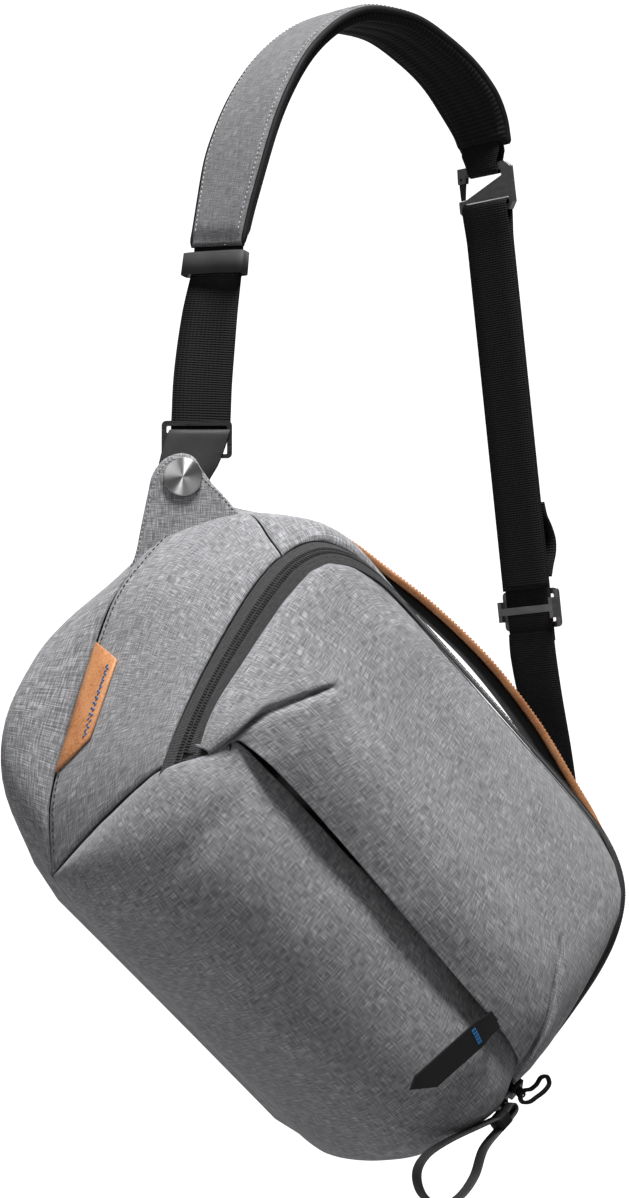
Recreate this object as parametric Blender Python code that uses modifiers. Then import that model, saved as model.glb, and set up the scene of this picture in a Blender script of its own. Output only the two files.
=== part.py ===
"""Sling camera bag, hanging by its strap.

The strap's loop lies in the world XZ plane and the origin is the underside of the shoulder
pad at its highest point. The bag hangs below it with its left end up: its own frame (u across,
v towards the back, w up, bag front at negative v) is turned about Y by TILT.
Lengths in the tables are millimetres, and MM turns them into metres.
"""
import math

import bmesh
import bpy
from mathutils import Matrix, Vector

MM = 0.001
TILT = math.radians(39.7)
BAG_ORIGIN = Vector((-140, 10, -667)) * MM   # middle of the bag's back bottom edge
BAG_FRAME = Matrix.Translation(BAG_ORIGIN) @ Matrix.Rotation(TILT, 4, "Y")

# Half outlines of the bag (half width u, height w) at three depths, as far as its top centre.
FRONT_V, SEAM_V, REAR_V, BACK_V = -92.0, 0.0, 26.0, 42.0
FRONT_HALF = [(163, 60), (172, 92), (179, 130), (183.5, 170), (185, 205), (181, 232), (168, 256),
              (142, 270), (100, 274.5), (0, 275)]
ZIP_LID_HALF = [(151, 74), (161, 97), (168, 130), (170.5, 170), (170.5, 205), (167.5, 232), (155, 252),
                (132, 264), (98, 268.5), (0, 269)]
SEAM_HALF = [(140, 10), (170, 44), (187, 85), (207, 140), (217, 175), (217, 205), (213, 236),
             (204, 264), (180, 275), (0, 277)]
REAR_HALF = [(140, 20), (188, 42), (214, 74), (223, 118), (221, 152), (212, 192), (205, 225),
             (193, 250), (165, 266), (0, 268)]
BOTTOM_HALF = {"seam": [(0, 7), (80, 7)], "rear": [(0, 14), (80, 14)]}
MIDDLE = Vector((0, 140))                    # inside point that the outlines swell away from
INSIDE = Vector((0, -30, 140))
CORNER_GAP = 0.09                            # between end and top panels, along the outline
SWELL = [(0, 1), (2, 4), (5, 5), (6.5, 8), (8, 3), (9, 1)]
END_TOP_FRONT, END_TOP_BACK = 5.0, 7.0       # where an end panel stops along the half outlines
WALL = 5.0                                   # foam-cored wall
SKIN = 2.5                                   # cloth pocket wall
SEAM_GAP = 4.5                               # between the panels' edges at the back seam

# Lid: the front panel between the zip and the fold above the pocket.
LID_HALF = [(103, 156), (112, 160), (130, 165), (170, 168.5), (205, 168.5), (232, 165), (246, 158),
            (258, 143), (267, 115)]
LID_EDGE_V = -104.5
LID_BULGE = [(103, 17), (140, 18), (190, 15), (230, 11), (255, 7), (267, 2)]
ZIP_START, ZIP_LID_START = 0.22, 0.95        # where the two tapes end, along the front outline
FLAP_TOP = 176.0                             # the pocket flap is sewn to the lid here
FLAP_LIP = 8.0                               # the flap's lower edge stands this far off the lid
LID_PIVOT = Vector((0, -131, 101.5))         # fold line, in the bag's frame

# Pocket: depth and height of the outer panel from its top edge round to the back.
POCKET_SECTION = [(-119, 98), (-122.5, 72), (-115, 38), (-95, 11), (-62, 0.5), (-25, -1), (-1.5, 5.5)]
POCKET_SEAM = [(-116, 99, 149), (-100, 82, 154), (-83, 66, 156), (-62, 50, 156), (-40, 36, 153),
               (-20, 21, 146), (-2, 9, 139)]  # depth, height, half width of its end seams

# Strap.
STRAP_W = 38.0
PAD_W, PAD_END_W = 50.0, 40.0
DISC_R, DISC_T = 12.2, 3.0
LEFT_ANCHOR = Vector((-230, -10, 264))       # centres of the two discs in the bag's frame; the right
RIGHT_ANCHOR = Vector((226, -5, 286))        # cloth tab is drawn up by the strap
STRAP_END = 38.5                             # from a disc along its link to the end of the webbing
RING_OUT = (45.0, 24.0)
RING_BAR = 3.2

# Strap routes: x, z, and the heading of the strap's width (degrees from +X in plan).
LEFT_ROUTE = [(-134.5, -277, 142), (-133, -250, 138), (-128, -210, 124), (-122, -178, 112)]
PAD_ROUTE = [(-122, -165, 110), (-114, -131, 106), (-104, -96, 104), (-89, -62, 102), (-69, -32, 99),
             (-45, -10, 96), (-22, 2, 95), (0, 5, 95), (25, 3, 96), (50, -7, 97), (72, -20, 98),
             (89, -36, 99), (101, -53, 100), (107, -70, 101)]
RIGHT_TOP, RIGHT_LOW = (108.5, -119, 102), (145, -398, 102)   # straight run the adjuster slides on
TAIL = [(0.875, 4.0), (0.85, 6.5), (0.82, 10.0), (0.79, 11.0), (0.76, 9.0), (0.73, 5.5), (0.70, 4.0)]
ADJUSTER_AT = 0.955                          # how far along that run the adjuster sits
LOWER_ROUTE = [(147.5, -418, 103), (154, -446, 99), (165, -478, 86), (178, -512, 66), (190, -543, 50)]
RIGHT_HEADING = 46.4                         # the webbing's heading where it meets the right ring


def set_up():
    """Empty the file and make the two collections."""
    for obj in list(bpy.data.objects):
        bpy.data.objects.remove(obj, do_unlink=True)
    collections = []
    for name in ("sling_camera_bag", "cutters"):
        collection = bpy.data.collections.new(name)
        bpy.context.scene.collection.children.link(collection)
        collections.append(collection)
    return collections


PARTS, CUTTERS = set_up()


def material(name, color, roughness, metallic=0.0):
    mat = bpy.data.materials.new(name)
    mat.use_nodes = True
    bsdf = mat.node_tree.nodes["Principled BSDF"]
    bsdf.inputs["Base Color"].default_value = (*color, 1.0)
    bsdf.inputs["Roughness"].default_value = roughness
    bsdf.inputs["Metallic"].default_value = metallic
    return mat


FABRIC = material("heather_fabric", (0.30, 0.30, 0.31), 0.9)
LINING = material("lining", (0.16, 0.16, 0.17), 0.9)
WEBBING = material("webbing", (0.012, 0.012, 0.013), 0.8)
HYPALON = material("hypalon", (0.05, 0.05, 0.052), 0.7)
ZIP = material("zip", (0.03, 0.03, 0.032), 0.6)
LEATHER = material("leather", (0.62, 0.26, 0.11), 0.6)
ALUMINIUM = material("aluminium", (0.45, 0.45, 0.46), 0.35, 1.0)
BRUSHED = material("brushed_disc", (0.6, 0.6, 0.6), 0.3, 1.0)
STEEL = material("dark_steel", (0.06, 0.06, 0.065), 0.35, 1.0)
DIVIDER = material("divider_foam", (0.12, 0.12, 0.13), 0.95)


def lerp(a, b, t):
    return a + (b - a) * t


def table(rows, x):
    """Read a table of (x, y) rows, with straight lines between the rows."""
    if x <= rows[0][0]:
        return rows[0][1]
    for (x0, y0), (x1, y1) in zip(rows, rows[1:]):
        if x <= x1:
            t = (x - x0) / (x1 - x0)
            return lerp(y0, y1, t)
    return rows[-1][1]


def spline(points, t):
    """Point at t (0 to len - 1) on a Catmull-Rom curve through the points."""
    last = len(points) - 1
    i = max(0, min(math.floor(t), last - 1))
    f = t - i
    ends = [2 * Vector(points[0]) - Vector(points[1]), 2 * Vector(points[-1]) - Vector(points[-2])]
    p = [Vector(points[i + k]) if 0 <= i + k <= last else ends[k > 0] for k in (-1, 0, 1, 2)]
    a = 2 * p[1]
    b = p[2] - p[0]
    c = 2 * p[0] - 5 * p[1] + 4 * p[2] - p[3]
    d = 3 * p[1] - p[0] - 3 * p[2] + p[3]
    return 0.5 * (a + b * f + c * f * f + d * f ** 3)


def place(name, mesh, mat, frame=None, pivot=None, collection=PARTS):
    """Link an object. Its mesh is in millimetres of the frame, and its origin goes to the pivot."""
    pivot = Vector(pivot) if pivot is not None else Vector((0, 0, 0))
    mesh.transform(Matrix.Translation(-pivot))
    mesh.transform(Matrix.Scale(MM, 4))
    obj = bpy.data.objects.new(name, mesh)
    if mat is not None:
        mesh.materials.append(mat)
    collection.objects.link(obj)
    frame = frame if frame is not None else Matrix()
    obj.matrix_world = frame @ Matrix.Translation(pivot * MM)
    return obj


def mesh_from(bm, name):
    mesh = bpy.data.meshes.new(name)
    bm.to_mesh(mesh)
    bm.free()
    return mesh


def grid_mesh(rows, wrap=False):
    """Open surface through rows of points, wrapped round into a tube if asked."""
    bm = bmesh.new()
    verts = [[bm.verts.new(p) for p in row] for row in rows]
    columns = len(rows[0])
    for a, b in zip(verts, verts[1:]):
        for k in range(columns if wrap else columns - 1):
            n = (k + 1) % columns
            bm.faces.new((a[k], a[n], b[n], b[k]))
    return bm, verts


def face_away(bm, inside):
    """Turn an open surface's faces so that they look away from a point behind it."""
    bm.normal_update()
    facing = sum(f.calc_area() * f.normal.dot(f.calc_center_median() - inside) for f in bm.faces)
    if facing < 0:
        bmesh.ops.reverse_faces(bm, faces=bm.faces)


def skin(name, rows, thickness, mat, frame, pivot=None):
    """A wall: an open surface with Solidify inwards, towards the middle of the bag."""
    bm, _ = grid_mesh(rows)
    face_away(bm, INSIDE)
    obj = place(name, mesh_from(bm, name), mat, frame, pivot)
    solid = obj.modifiers.new("Wall", "SOLIDIFY")
    solid.thickness = thickness * MM
    solid.offset = -1
    solid.use_even_offset = True
    obj.data.shade_smooth()
    return obj


def loft(name, rings, mat, frame=None, pivot=None, smooth=False):
    """A closed body through closed rings of points, with flat ends."""
    bm, verts = grid_mesh(rings, wrap=True)
    bm.faces.new(verts[0])
    bm.faces.new(verts[-1])
    bmesh.ops.recalc_face_normals(bm, faces=bm.faces)
    obj = place(name, mesh_from(bm, name), mat, frame, pivot)
    if smooth:
        obj.data.shade_smooth()
        obj.data.set_sharp_from_angle(angle=math.radians(40))
    return obj


def box(name, size, local, mat, frame=None, bevel=0.0, pivot=None):
    """A box centred on its local matrix, or on a plain point."""
    bm = bmesh.new()
    bmesh.ops.create_cube(bm, size=1.0)
    bmesh.ops.scale(bm, vec=Vector(size), verts=bm.verts)
    if bevel:
        bmesh.ops.bevel(bm, geom=bm.edges, offset=bevel, segments=2, affect="EDGES", profile=0.5)
    if not isinstance(local, Matrix):
        local = Matrix.Translation(Vector(local))
    bmesh.ops.transform(bm, matrix=local, verts=bm.verts)
    return place(name, mesh_from(bm, name), mat, frame, pivot)


def cylinder(name, radius, length, local, mat, frame=None, segments=32, bevel=0.0, pivot=None):
    """A cylinder along the z axis of its local matrix, centred on it."""
    bm = bmesh.new()
    bmesh.ops.create_cone(bm, cap_ends=True, segments=segments, radius1=radius, radius2=radius, depth=length)
    if bevel:
        rims = [e for e in bm.edges if len({round(v.co.z, 3) for v in e.verts}) == 1]
        bmesh.ops.bevel(bm, geom=rims, offset=bevel, segments=2, affect="EDGES", profile=0.5)
    bmesh.ops.transform(bm, matrix=local, verts=bm.verts)
    return place(name, mesh_from(bm, name), mat, frame, pivot)


def plate(name, outlines, thickness, local, mat, frame=None, pivot=None):
    """A flat plate from closed outlines, the later ones being holes, in the xy plane of local."""
    curve = bpy.data.curves.new(name, "CURVE")
    curve.dimensions = "2D"
    curve.fill_mode = "BOTH"
    curve.extrude = thickness / 2
    for outline in outlines:
        path = curve.splines.new("POLY")
        path.points.add(len(outline) - 1)
        path.use_cyclic_u = True
        for point, (x, y) in zip(path.points, outline):
            point.co = (x, y, 0, 1)
    source = bpy.data.objects.new(name + "_outline", curve)
    PARTS.objects.link(source)
    bpy.context.view_layer.update()
    evaluated = source.evaluated_get(bpy.context.evaluated_depsgraph_get())
    mesh = bpy.data.meshes.new_from_object(evaluated)
    bpy.data.objects.remove(source)
    bm = bmesh.new()
    bm.from_mesh(mesh)
    bmesh.ops.remove_doubles(bm, verts=bm.verts, dist=0.001)
    bmesh.ops.transform(bm, matrix=local, verts=bm.verts)
    bmesh.ops.recalc_face_normals(bm, faces=bm.faces)
    bm.to_mesh(mesh)
    bm.free()
    mesh.materials.clear()
    return place(name, mesh, mat, frame, pivot)


def rounded(width, height, radius, centre=(0, 0), steps=4):
    """Outline of a rounded rectangle."""
    points = []
    for k, (sx, sy) in enumerate(((1, 1), (-1, 1), (-1, -1), (1, -1))):
        cx = centre[0] + sx * (width / 2 - radius)
        cy = centre[1] + sy * (height / 2 - radius)
        for i in range(steps + 1):
            angle = math.pi / 2 * (k + i / steps)
            points.append((cx + radius * math.cos(angle), cy + radius * math.sin(angle)))
    return points


def basis(x_axis, y_axis, z_axis, origin):
    local = Matrix((x_axis, y_axis, z_axis)).transposed().to_4x4()
    local.translation = Vector(origin)
    return local


def combine(obj, other, operation):
    """Boolean with an object that is itself kept out of the model."""
    for old in list(other.users_collection):
        old.objects.unlink(other)
    CUTTERS.objects.link(other)
    other.hide_render = True
    other.display_type = "WIRE"
    boolean = obj.modifiers.new(operation.title(), "BOOLEAN")
    boolean.operation = operation
    boolean.solver = "EXACT"
    boolean.object = other


def cut(obj, cutter):
    combine(obj, cutter, "DIFFERENCE")


def join(obj, other):
    combine(obj, other, "UNION")


# ---------------------------------------------------------------- bag body

def half_outline(v, t):
    """Point of the bag's half outline at depth v, t running from the end seam to the top centre."""
    front = spline(FRONT_HALF, t)
    seam = spline(SEAM_HALF, t)
    if v <= SEAM_V:
        s = (v - FRONT_V) / (SEAM_V - FRONT_V)
        point = front.lerp(seam, s)
        amount = table(SWELL, t) * math.sin(math.pi * math.sqrt(max(0.0, s)))
        return point + (point - MIDDLE).normalized() * amount
    rear = spline(REAR_HALF, t)
    s = (v - SEAM_V) / (REAR_V - SEAM_V)
    return seam.lerp(rear, math.sin(math.pi / 2 * s))


def end_top(v):
    """Where the end panel meets the top panel at depth v."""
    return lerp(END_TOP_FRONT, END_TOP_BACK, min(1.0, (v - FRONT_V) / 66.0))


def seam_floor(v):
    """Lowest point of an end panel at depth v: the straight seam from the pocket fold to the back."""
    return table([(-92, 72), (-40, 37), (0, 9)], v)


def build_end_panel(name, side):
    rows = []
    for i in range(9):
        v = lerp(FRONT_V, SEAM_V - SEAM_GAP, i / 8)
        top = end_top(v) - CORNER_GAP
        low = 0.0
        while half_outline(v, low).y < seam_floor(v):
            low += 0.02
        row = []
        for k in range(15):
            point = half_outline(v, lerp(low, top, k / 14))
            row.append((side * point.x, v, point.y))
        rows.append(row)
    return skin(name, rows, WALL, FABRIC, BAG_FRAME)


def build_top_panel():
    rows = []
    for i in range(8):
        v = lerp(FRONT_V, SEAM_V - SEAM_GAP, i / 7)
        start = end_top(v) + CORNER_GAP
        half = [half_outline(v, lerp(start, 9.0, k / 9)) for k in range(10)]
        right = [(p.x, v, p.y) for p in half]
        left = [(-p.x, v, p.y) for p in half[-2::-1]]
        rows.append(right + left)
    return skin("top_panel", rows, WALL, FABRIC, BAG_FRAME)


def back_ring(v, inset):
    """Full loop of the bag's outline at depth v behind the seam, drawn in by the inset."""
    kind = min(1.0, v / REAR_V)
    blend = math.sin(math.pi / 2 * kind)
    half = [Vector(a).lerp(Vector(b), blend) for a, b in zip(BOTTOM_HALF["seam"], BOTTOM_HALF["rear"])]
    half += [half_outline(min(v, REAR_V), 9.0 * k / 15) for k in range(16)]
    points = []
    for p in half:
        away = p - MIDDLE
        points.append(MIDDLE + away * max(0.0, 1 - inset / away.length))
    right = [(p.x, v, p.y) for p in points]
    left = [(-p.x, v, p.y) for p in points[-2:0:-1]]
    return right + left


def build_back_panel():
    """Back: a shallow padded tray whose rim meets the end panels at their stitched seam."""
    stations = [(SEAM_V + 2.0, 0), (9, 0), (18, 0), (REAR_V, 0), (33, 4), (38, 12), (41, 26), (BACK_V, 60),
                (BACK_V + 0.2, 150)]
    rings = [back_ring(v, inset) for v, inset in stations]
    bm, verts = grid_mesh(rings, wrap=True)
    bm.faces.new(verts[-1])
    face_away(bm, INSIDE)
    obj = place("back_panel", mesh_from(bm, "back_panel"), FABRIC, BAG_FRAME)
    solid = obj.modifiers.new("Wall", "SOLIDIFY")
    solid.thickness = 7 * MM
    solid.offset = -1
    obj.data.shade_smooth()
    return obj


def pocket_point(a, s):
    """Outer face of the pocket: a from -1 to 1 across, s from 0 at the top edge to 1 at the back."""
    section = spline(POCKET_SECTION, s * (len(POCKET_SECTION) - 1))
    seam = spline(POCKET_SEAM, s * (len(POCKET_SEAM) - 1))
    fullness = math.sqrt(max(0.0, 1 - abs(a) ** 9))
    v = lerp(seam.x, section.x, fullness)
    w = lerp(seam.y, section.y, fullness)
    return (a * seam.z, v, w)


def build_pocket():
    steps = [-1, -0.985, -0.95, -0.88, -0.75, -0.5, -0.25, 0, 0.25, 0.5, 0.75, 0.88, 0.95, 0.985, 1]
    rows = [[pocket_point(a, k / 12) for a in steps] for k in range(13)]
    skin("pocket_panel", rows, SKIN, FABRIC, BAG_FRAME)
    wall = [[(u, lerp(-97, -70, k / 3), lerp(97, 19, k / 3)) for u in (-lerp(146, 112, k / 3), 0,
             lerp(146, 112, k / 3))] for k in range(4)]
    skin("pocket_divider_wall", wall, 3.0, LINING, BAG_FRAME)
    box("base_panel", (216, 56, 4), (0, -33, 14.5), LINING, BAG_FRAME, bevel=1.0)
    box("pocket_zip_tape", (272, 12, 1.0), (0, -106.5, 98.5), ZIP, BAG_FRAME)


# ---------------------------------------------------------------- lid

def lid_point(a, w, lift=0.0):
    half = table(LID_HALF, w)
    bulge = table(LID_BULGE, w) * math.sqrt(max(0.0, 1 - abs(a) ** 5))
    return Vector((a * half, LID_EDGE_V + 4 * max(0.0, (w - 240) / 32) - bulge - lift, w))


ACROSS = [-1, -0.985, -0.95, -0.85, -0.65, -0.4, -0.15, 0.15, 0.4, 0.65, 0.85, 0.95, 0.985, 1]
FLAP_LEVELS = [103, 112, 122, 134, 146, 160, 176]


def build_lid():
    heights = FLAP_LEVELS + [192, 208, 222, 234, 244, 252, 258, 263, 267]
    rows = [[lid_point(a, w) for a in ACROSS] for w in heights]
    skin("lid_panel", rows, WALL, FABRIC, BAG_FRAME, pivot=LID_PIVOT)
    rings = []
    for a in ACROSS[2:-2]:
        inner = [lid_point(a, w, 0.6) for w in FLAP_LEVELS]
        outer = []
        for w in reversed(FLAP_LEVELS):
            rise = 2.0 + (FLAP_LIP - 2.0) * ((FLAP_TOP - w) / (FLAP_TOP - 103)) ** 1.4
            outer.append(lid_point(a, w, rise))
        rings.append(inner + outer)
    loft("pocket_flap", rings, FABRIC, BAG_FRAME, LID_PIVOT)
    organiser = [[lid_point(a * 0.88, w, -7.5) for a in (-1, -0.7, -0.35, 0, 0.35, 0.7, 1)]
                 for w in (122, 140, 165, 190, 215)]
    skin("lid_organiser", organiser, 1.2, LINING, BAG_FRAME, pivot=LID_PIVOT)


def zip_point(t, across):
    """Point of the main zip's tape plane: t as on the front outline, across from body 0 to lid 1."""
    body = spline(FRONT_HALF, t)
    lid = spline(ZIP_LID_HALF, t)
    return Vector((body.x, FRONT_V - 1.4, body.y)).lerp(Vector((lid.x, LID_EDGE_V + 0.4, lid.y)), across)


def build_zips():
    """Tapes of the main zip: up the left end, over the top and down the right end."""
    for name, edges, pivot in (("main_zip_tape_body", (0.04, 0.46), None),
                               ("main_zip_tape_lid", (0.54, 0.94), LID_PIVOT)):
        start = ZIP_START if pivot is None else ZIP_LID_START
        rows = []
        for k in range(41):
            s = 2 * k / 40 - 1
            side = 1 if s > 0 else -1
            t = lerp(9.0, start, abs(s))
            rows.append([(side * p.x, p.y, p.z) for p in (zip_point(t, edge) for edge in edges)])
        skin(name, rows, 1.0, ZIP, BAG_FRAME, pivot=pivot)


# ---------------------------------------------------------------- strap

def strap_axes(route, t):
    """Point, tangent, width direction and outward normal of the strap at t along a route."""
    here = spline(route, t)
    step = 0.02
    a = spline(route, t - step)
    b = spline(route, t + step)
    tangent = Vector((b.x - a.x, 0, b.y - a.y)).normalized()
    heading = math.radians(here.z)
    width = Vector((math.cos(heading), math.sin(heading), 0))
    width = (width - tangent * width.dot(tangent)).normalized()
    return Vector((here.x, 0, here.y)), tangent, width, tangent.cross(width)


def ribbon(name, route, width_at, low, high, mat, count=24, start=0.0, end=1.0):
    """A flat strap along a route, between two heights over its centre surface."""
    rings = []
    last = len(route) - 1
    for k in range(count):
        s = lerp(start, end, k / (count - 1))
        point, _, across, normal = strap_axes(route, s * last)
        half = width_at(s) / 2
        rings.append([point + across * half + normal * low, point + across * half + normal * high,
                      point - across * half + normal * high, point - across * half + normal * low])
    return loft(name, rings, mat)


def strap_width(_):
    return STRAP_W


def pad_width(s):
    edge = min(s, 1 - s)
    ease = min(1.0, edge / 0.16)
    return lerp(PAD_END_W, PAD_W, ease * ease * (3 - 2 * ease))


def build_pad():
    ribbon("shoulder_pad_face", PAD_ROUTE, pad_width, 1.0, 4.6, FABRIC, 40)
    ribbon("shoulder_pad_lining", PAD_ROUTE, lambda s: pad_width(s) - 1.5, -5.0, 0.0, LINING, 40)
    keeper = [(-124.6, -184, 113), (-123.0, -171, 111.5)]
    outer = ribbon("pad_keeper_loop", keeper, lambda _: 43, -4.2, 3.6, HYPALON, 2)
    hole = ribbon("keeper_slot", keeper, lambda _: 40, -2.0, 1.6, None, 2, -0.3, 1.3)
    cut(outer, hole)


def build_left_strap():
    ribbon("webbing_left", LEFT_ROUTE, strap_width, -0.9, 0.9, WEBBING, 16, 0.03, 0.93)


def right_point(s):
    return Vector(RIGHT_TOP).lerp(Vector(RIGHT_LOW), s)


def build_right_strap():
    run = [RIGHT_TOP, RIGHT_LOW]
    ribbon("webbing_right", run, strap_width, 0.2, 2.0, WEBBING, 2, 0.0, 1.035)
    ribbon("webbing_right_return", run, strap_width, -2.4, -0.6, WEBBING, 2, 0.0, 0.90)
    end = ear_frame(1) @ Vector((0, STRAP_END, -5))
    ribbon("webbing_lower", LOWER_ROUTE + [(end.x, end.z, RIGHT_HEADING)], strap_width, -0.9, 0.9,
           WEBBING, 20)


def local_frame(route, t, lift=0.0):
    """Matrix whose x runs across the strap to the wearer's right, y up it and z out of it."""
    point, tangent, across, normal = strap_axes(route, t)
    up = tangent if tangent.z > 0 else -tangent
    right = up.cross(normal) if up.cross(normal).dot(across) < 0 else -up.cross(normal)
    return basis(right, up, right.cross(up), point + normal * lift)


HOOK_FRAME = local_frame([(104.9, -80, 102), (107, -97, 102), (109, -114, 102)], 1.0)
GATE_PIVOT = (-19.5, 9.0)
LOOP_BEND = (13.0, 3.7)                      # centre height and radius of the end loop's fold


def build_hook():
    outline = [(-22, 16.5), (18, 16.5), (22.5, 12.5), (23, -12), (19.5, -17), (-20, -17), (-23, -14),
               (-23, -6.0), (-17.5, -6.0), (15.0, 7.0), (15.0, 11.2), (-15.5, 11.2), (-16.5, 6.0),
               (-22.5, 6.0)]
    slot = [(-19.6, -8.2), (-19.6, -13.0), (19.6, -13.0), (19.6, -8.2)]
    hook = plate("slide_hook", [outline, slot], 4.4, HOOK_FRAME, ALUMINIUM)
    x, y = GATE_PIVOT
    fork = plate("hook_fork", [[(-24, 4), (-15, 4), (-15.9, 11.0), (-24, 12.6)]], 2.2, HOOK_FRAME, None)
    cut(hook, fork)
    bore_at = HOOK_FRAME @ Matrix.Translation((x, y, 0))
    cut(hook, cylinder("hook_pin_bore", 1.2, 8, bore_at, None, segments=20))
    pivot = bore_at.translation
    ring = [(x + 1.15 * math.cos(k * math.pi / 8), y + 1.15 * math.sin(k * math.pi / 8)) for k in range(16)]
    lever = [(-22.0, -5.4), (-19.2, -5.4), (-17.4, 5.4), (-17.0, 8.8), (-18.2, 11.0), (-20.8, 11.2),
             (-22.2, 9.4), (-22.3, 4.0)]
    plate("hook_gate", [lever, ring], 1.7, HOOK_FRAME, STEEL, pivot=pivot)
    cylinder("gate_pin", 0.9, 4.3, bore_at, STEEL, segments=16)


def build_end_loop():
    """Webbing loop from the pad's end round the hook's top bar, in the hook's own frame."""
    height, radius = LOOP_BEND
    path = [(y, radius, 1.0) for y in (23.0, 18.0)]
    path += [(height - radius * math.sin(k * math.pi / 8), radius * math.cos(k * math.pi / 8),
              math.cos(k * math.pi / 8)) for k in range(9)]
    path += [(y, -radius, -1.0) for y in (18.0, 23.0)]
    rings = []
    for y, z, turn in path:
        half = lerp(12.5, 16.5, max(0.0, (y - height) / 10))
        side = math.sqrt(max(0.0, 1 - turn * turn))
        inner = Vector((0, y + 0.7 * side, z - 0.7 * turn))
        outer = Vector((0, y - 0.7 * side, z + 0.7 * turn))
        across = Vector((half, 0, 0))
        rings.append([HOOK_FRAME @ p for p in (inner + across, outer + across, outer - across, inner - across)])
    loft("hook_end_loop", rings, WEBBING)


def build_adjuster():
    """Tri-glide: its outer bars lie behind the webbing and its centre bar in front of it."""
    run = [RIGHT_TOP, RIGHT_LOW]
    frame = local_frame(run, ADJUSTER_AT)
    pivot = frame.translation
    outline = rounded(47, 27, 3.0)
    glide = plate("strap_adjuster", [outline, rounded(40, 19, 1.0)], 2.2,
                  frame @ Matrix.Translation((0, 0, -4.2)), ALUMINIUM, pivot=pivot)
    for side in (-1, 1):
        rail_at = frame @ Matrix.Translation((side * 21.7, 0, -0.4))
        join(glide, box("adjuster_rail", (3.0, 14, 9.0), rail_at, None))
    bar_at = frame @ Matrix.Translation((0, 0, 3.4))
    join(glide, box("adjuster_bar", (46, 5.0, 1.8), bar_at, None))
    tail = []
    _, _, _, normal = strap_axes(run, 0.5)
    for s, lift in TAIL:
        point = right_point(s)
        tail.append((point.x + normal.x * lift, point.y + normal.z * lift, RIGHT_LOW[2]))
    ribbon("webbing_tail", tail, strap_width, -0.9, 0.9, WEBBING, 10)


EAR_OUTLINE = [(-37, -45), (-28, -33), (-23, -14), (-20.5, -2), (-15.5, 7), (-8, 12.5), (1, 14.5),
               (8, 12), (12, 3), (16.5, -6.5)]
LINK_HALF = [(18.5, 31), (18.5, 25.5), (17.5, 14), (15.5, 0), (12, -9), (6, -13.5), (0, -14.5)]
LEFT_RING_AT, RIGHT_RING_AT = (8.3, 25.3), (0, 25.3)
RIGHT_EAR_ROOT = [(229, -2, 226), (208, -6, 272)]


def ear_frame(side):
    """Matrix of an ear tab: z out of its face, y up along the strap, origin at the disc."""
    anchor = LEFT_ANCHOR if side < 0 else RIGHT_ANCHOR
    centre = BAG_FRAME @ (anchor * MM) / MM
    if side < 0:
        face = Vector((-0.614, -0.789, 0))
        up = Vector((0, 0, 1))
    else:
        low_end = Vector((RIGHT_LOW[0], 0, RIGHT_LOW[1]))
        up = (low_end - Vector((centre.x, 0, centre.z))).normalized()
        edge_on = Vector((0, 1, 0)).cross(up)
        face = (edge_on * (1 if edge_on.x > 0 else -1) + Vector((0, -1, 0))).normalized()
    return basis(up.cross(face), up, face, centre)


def ear_outline(side):
    """The cloth tab: a rounded head round the disc, and its root along the bag's corner."""
    if side < 0:
        return EAR_OUTLINE
    into = ear_frame(1).inverted()
    root = [into @ (BAG_FRAME @ (Vector(p) * MM) / MM) for p in RIGHT_EAR_ROOT]
    head = [(15.5 * math.cos(math.radians(a)), 15.5 * math.sin(math.radians(a))) for a in range(-60, 136, 15)]
    return [(p.x, p.y) for p in root[:1]] + head + [(p.x, p.y) for p in root[1:]]


def build_anchor(side):
    prefix = "left" if side < 0 else "right"
    frame = ear_frame(side)
    circle = [(3.2 * math.cos(k * math.pi / 8), 3.2 * math.sin(k * math.pi / 8)) for k in range(16)]
    plate(prefix + "_ear_tab", [ear_outline(side), circle], 3.6, frame, FABRIC)
    lean_x, lean_y = LEFT_RING_AT if side < 0 else RIGHT_RING_AT
    half = LINK_HALF + [(-x, y) for x, y in LINK_HALF[-2::-1]]
    link = [(x + lean_x * max(0.0, y) / lean_y, y) for x, y in half]
    plate(prefix + "_link", [link, circle], 2.4, frame @ Matrix.Translation((0, 0, -3.6)), HYPALON)
    cylinder(prefix + "_anchor_disc", DISC_R, DISC_T, frame @ Matrix.Translation((0, 0, 3.7)), BRUSHED,
             segments=40, bevel=0.4)
    cylinder(prefix + "_anchor_post", 2.8, 7.2, frame @ Matrix.Translation((0, 0, -1.6)), STEEL, segments=24)
    ring_at = frame @ Matrix.Translation((lean_x, lean_y, -6.6))
    width, height = RING_OUT
    windows = [rounded(width - 2 * RING_BAR, high, 0.8, (0, at)) for high, at in ((4.6, 6.4), (11.0, -4.0))]
    plate(prefix + "_strap_ring", [rounded(width, height, 3.0)] + windows, 2.6, ring_at, STEEL)


# ---------------------------------------------------------------- handle, tag, pulls, dividers

SLIDE_LOW, SLIDE_TOP = 0.3, 3.0              # straight stretch of the right zip, along the outline
SLIDERS = (("upper", 0.92), ("lower", 0.42))
EYE_LIFT = 12.5                              # the pulls turn this far out from the zip
PULL_LOOPS = {
    "lower": {"width": 9.0, "thickness": 1.4, "mat": HYPALON,
              "points": [(0, 3.2), (3.0, -1), (-6, -11), (-22, -27), (-28, -47), (-40, -61), (-54, -66),
                         (-69, -59), (-75, -45), (-68, -30), (-50, -20), (-26, -11), (-8, -4)]},
    "upper": {"width": 3.0, "thickness": 2.4, "mat": WEBBING,
              "points": [(0, 3.8), (5, 4.4), (10, 7.2), (14, 11.5), (19, 12), (21, 7.5), (17, 3.0), (10, -0.8),
                         (4, -3.6), (-2, -3.4), (-3.8, 0.5)]},
}
POCKET_SLIDER = (106, -128.6, 100.2)
POCKET_PULL_LEAN = math.radians(17)
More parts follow.
